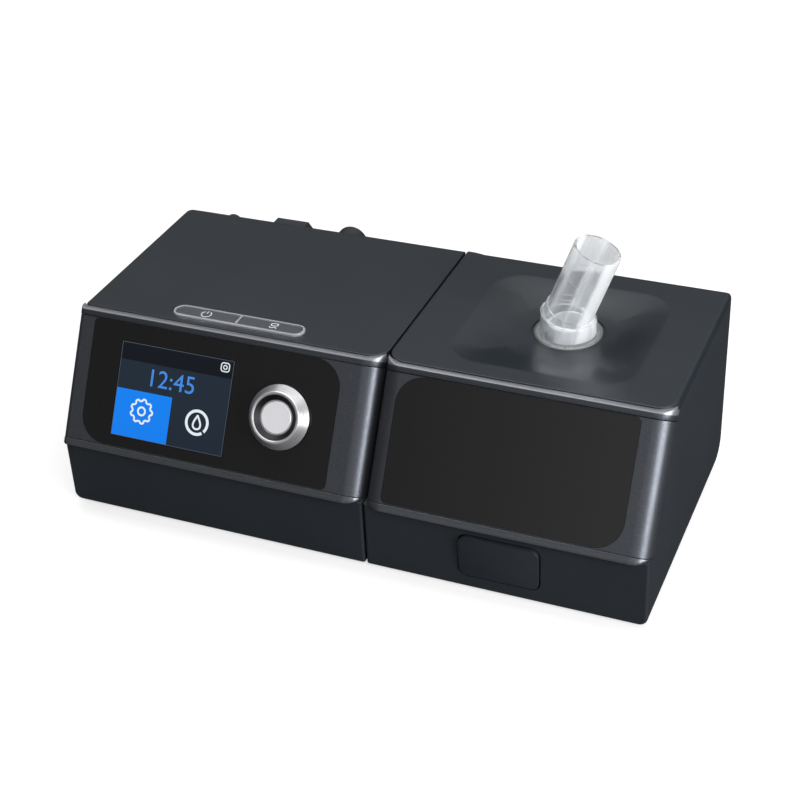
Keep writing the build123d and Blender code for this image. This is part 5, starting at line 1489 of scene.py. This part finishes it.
@dataclass
class WaterDrawer:
    """The drawer: front frame, strips, window, and the tub with its lid."""

    body: str = "water_drawer"
    strip_edge: float = 0.7

    def build(self) -> list[str]:
        """Dresses the drawer's pieces.

        Returns:
            Names of the pieces.
        """
        eased_copy("drawer_upper_strip", "drawer_trim_top", self.body, EDGED, self.strip_edge)
        eased_copy("drawer_lower_strip", "drawer_trim_bottom", self.body, TRIM, self.strip_edge)
        finishes = {
            "drawer_front": FRONT,
            "drawer_window": WINDOW,
            "water_tub": TUB,
            "tub_lid": TUB,
            "tub_seal": SILICONE,
            "tub_heat_plate": STEEL,
        }
        return ["drawer_upper_strip", "drawer_lower_strip", *dress_nodes(finishes)]


@dataclass
class Studio:
    """Pale floor, soft lamps and the camera at the photograph's viewing angle."""

    position: tuple[float, float, float] = (275.38, -624.45, 490.40)
    right: tuple[float, float, float] = (0.92469, 0.37845, -0.04166)
    up: tuple[float, float, float] = (-0.17578, 0.52143, 0.83499)
    back: tuple[float, float, float] = (0.33772, -0.76478, 0.54868)
    lens: float = 75.53
    floor_size: float = 12.0
    world_plain: float = 0.4
    floor_plain: float = 0.42
    floor_gloss: float = 0.03
    glow_near: float = 0.57
    glow_far: float = 0.92

    def camera(self) -> None:
        """Sets the camera from its measured place and axes."""
        data = bpy.data.cameras.new("camera")
        data.lens = self.lens
        data.sensor_width = 36.0
        data.clip_start = 0.01
        holder = bpy.data.objects.new("camera", data)
        turn = Matrix((self.right, self.up, self.back)).transposed().to_4x4()
        holder.matrix_world = Matrix.Translation(Vector(self.position) * MM) @ turn
        bpy.context.scene.collection.objects.link(holder)
        bpy.context.scene.camera = holder

    def lamp(self, name: str, place: tuple, size: tuple, power: float, shines: bool = True) -> None:
        """Adds a soft rectangular lamp that faces the object.

        Args:
            name: its name.
            place: its place in metres.
            size: its width and length in metres.
            power: its power in watts.
            shines: whether gloss shows it.
        """
        data = bpy.data.lights.new(name, "AREA")
        data.shape = "RECTANGLE"
        data.size, data.size_y = size
        data.energy = power
        holder = bpy.data.objects.new(name, data)
        holder.location = place
        holder.rotation_euler = (Vector((0.0, 0.0, 0.05)) - Vector(place)).to_track_quat("-Z", "Y").to_euler()
        holder.visible_glossy = shines
        bpy.context.scene.collection.objects.link(holder)

    def seen(self, tree: bpy.types.NodeTree, path: bpy.types.Node) -> bpy.types.NodeSocket:
        """Tells rays from the camera, or through clear plastic, from the rest.

        Args:
            tree: node tree of the floor or the world.
            path: its Light Path node.

        Returns:
            A value of 1 for those rays and 0 for others.
        """
        straight = {0: path.outputs["Is Camera Ray"], 1: path.outputs["Is Transmission Ray"]}
        return add_node(tree, "ShaderNodeMath", straight, operation="MAXIMUM").outputs[0]

    def floor(self) -> None:
        """A pale floor that the camera sees as white, with the object's soft shadow on it."""
        half = self.floor_size / 2
        mesh = bpy.data.meshes.new("floor")
        corners = [(-half, -half, 0), (half, -half, 0), (half, half, 0), (-half, half, 0)]
        mesh.from_pydata(corners, [], [(0, 1, 2, 3)])
        floor = bpy.data.objects.new("floor", mesh)
        bpy.context.scene.collection.objects.link(floor)
        material = bpy.data.materials.new("pale floor")
        material.use_nodes = True
        tree = material.node_tree
        tree.nodes.clear()
        path = add_node(tree, "ShaderNodeLightPath")
        pale = add_node(
            tree,
            "ShaderNodeMapRange",
            {"Value": path.outputs["Is Glossy Ray"], "To Min": self.floor_plain, "To Max": self.floor_gloss},
        )
        matt = add_node(tree, "ShaderNodeBsdfDiffuse", {"Color": pale.outputs["Result"]})
        place = add_node(tree, "ShaderNodeTexCoord").outputs["Object"]
        reach = add_node(tree, "ShaderNodeVectorMath", {0: place}, operation="LENGTH")
        level = add_node(
            tree,
            "ShaderNodeMapRange",
            {0: reach.outputs["Value"], 1: 0.3, 2: 1.1, 3: self.glow_near, 4: self.glow_far},
            interpolation_type="SMOOTHSTEP",
        )
        dim = add_node(
            tree,
            "ShaderNodeMath",
            {0: self.seen(tree, path), 1: level.outputs["Result"]},
            operation="MULTIPLY",
        )
        glow = add_node(
            tree, "ShaderNodeEmission", {"Color": (1.0, 1.0, 1.0, 1.0), "Strength": dim.outputs[0]}
        )
        both = add_node(tree, "ShaderNodeAddShader", {0: matt.outputs[0], 1: glow.outputs[0]})
        add_node(tree, "ShaderNodeOutputMaterial", {"Surface": both.outputs[0]})
        mesh.materials.append(material)

    def gloss_level(self, tree: bpy.types.NodeTree) -> bpy.types.NodeSocket:
        """Brightness that gloss sees: in front it grows towards the right, behind it grows with height.

        Args:
            tree: the world's node tree.

        Returns:
            The brightness for a direction.
        """
        direction = add_node(tree, "ShaderNodeTexCoord")
        split = add_node(tree, "ShaderNodeSeparateXYZ", {0: direction.outputs["Generated"]})
        ranges = {
            "front": (0, -0.4, -0.1, 0.15, 0.75),
            "behind": (2, 0.4, 0.76, 0.0, 1.0),
            "share": (1, -0.3, 0.3, 0.0, 1.0),
        }
        level = {}
        for key, (axis, start, end, low, high) in ranges.items():
            level[key] = add_node(
                tree,
                "ShaderNodeMapRange",
                {0: split.outputs[axis], 1: start, 2: end, 3: low, 4: high},
                interpolation_type="SMOOTHSTEP",
            ).outputs["Result"]
        mixed = {0: level["share"], 2: level["front"], 3: level["behind"]}
        return add_node(tree, "ShaderNodeMix", mixed).outputs[0]

    def world(self) -> None:
        """White to the camera and through clear plastic, graded for gloss, even for plain lighting."""
        world = bpy.data.worlds.new("studio")
        world.use_nodes = True
        tree = world.node_tree
        tree.nodes.clear()
        path = add_node(tree, "ShaderNodeLightPath")
        plain = add_node(
            tree,
            "ShaderNodeMix",
            {0: path.outputs["Is Glossy Ray"], 2: self.world_plain, 3: self.gloss_level(tree)},
        )
        strength = add_node(tree, "ShaderNodeMix", {0: self.seen(tree, path), 2: plain.outputs[0], 3: 1.0})
        shell = add_node(
            tree,
            "ShaderNodeBackground",
            {"Color": (1.0, 1.0, 1.0, 1.0), "Strength": strength.outputs[0]},
        )
        add_node(tree, "ShaderNodeOutputWorld", {"Surface": shell.outputs[0]})
        bpy.context.scene.world = world

    def build(self) -> None:
        """Sets up everything round the object."""
        scene = bpy.context.scene
        scene.view_settings.view_transform = "Standard"
        self.camera()
        self.floor()
        self.world()
        self.lamp("overhead", (0.0, 0.12, 1.25), (1.5, 0.4), 8.5)
        self.lamp("right", (1.05, -0.42, 0.3), (0.5, 0.8), 17.0)
        self.lamp("front", (0.6, -1.0, 1.2), (0.6, 0.6), 9.0, False)
        self.lamp("rear", (-0.9, 1.2, 0.5), (0.6, 0.6), 13.0, False)


def main() -> None:
    """Builds the object piece by piece, then the studio."""
    logging.basicConfig(level=logging.INFO, format="%(name)s: %(message)s")
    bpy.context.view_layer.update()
    for assembly in (FlowUnit(), Display(), ControlKnob(), ButtonBar(), Humidifier(), WaterDrawer()):
        for name in assembly.build():
            LOG.info("%s: %s", type(assembly).__name__, name)
    Studio().build()


if __name__ == "__main__":
    main()
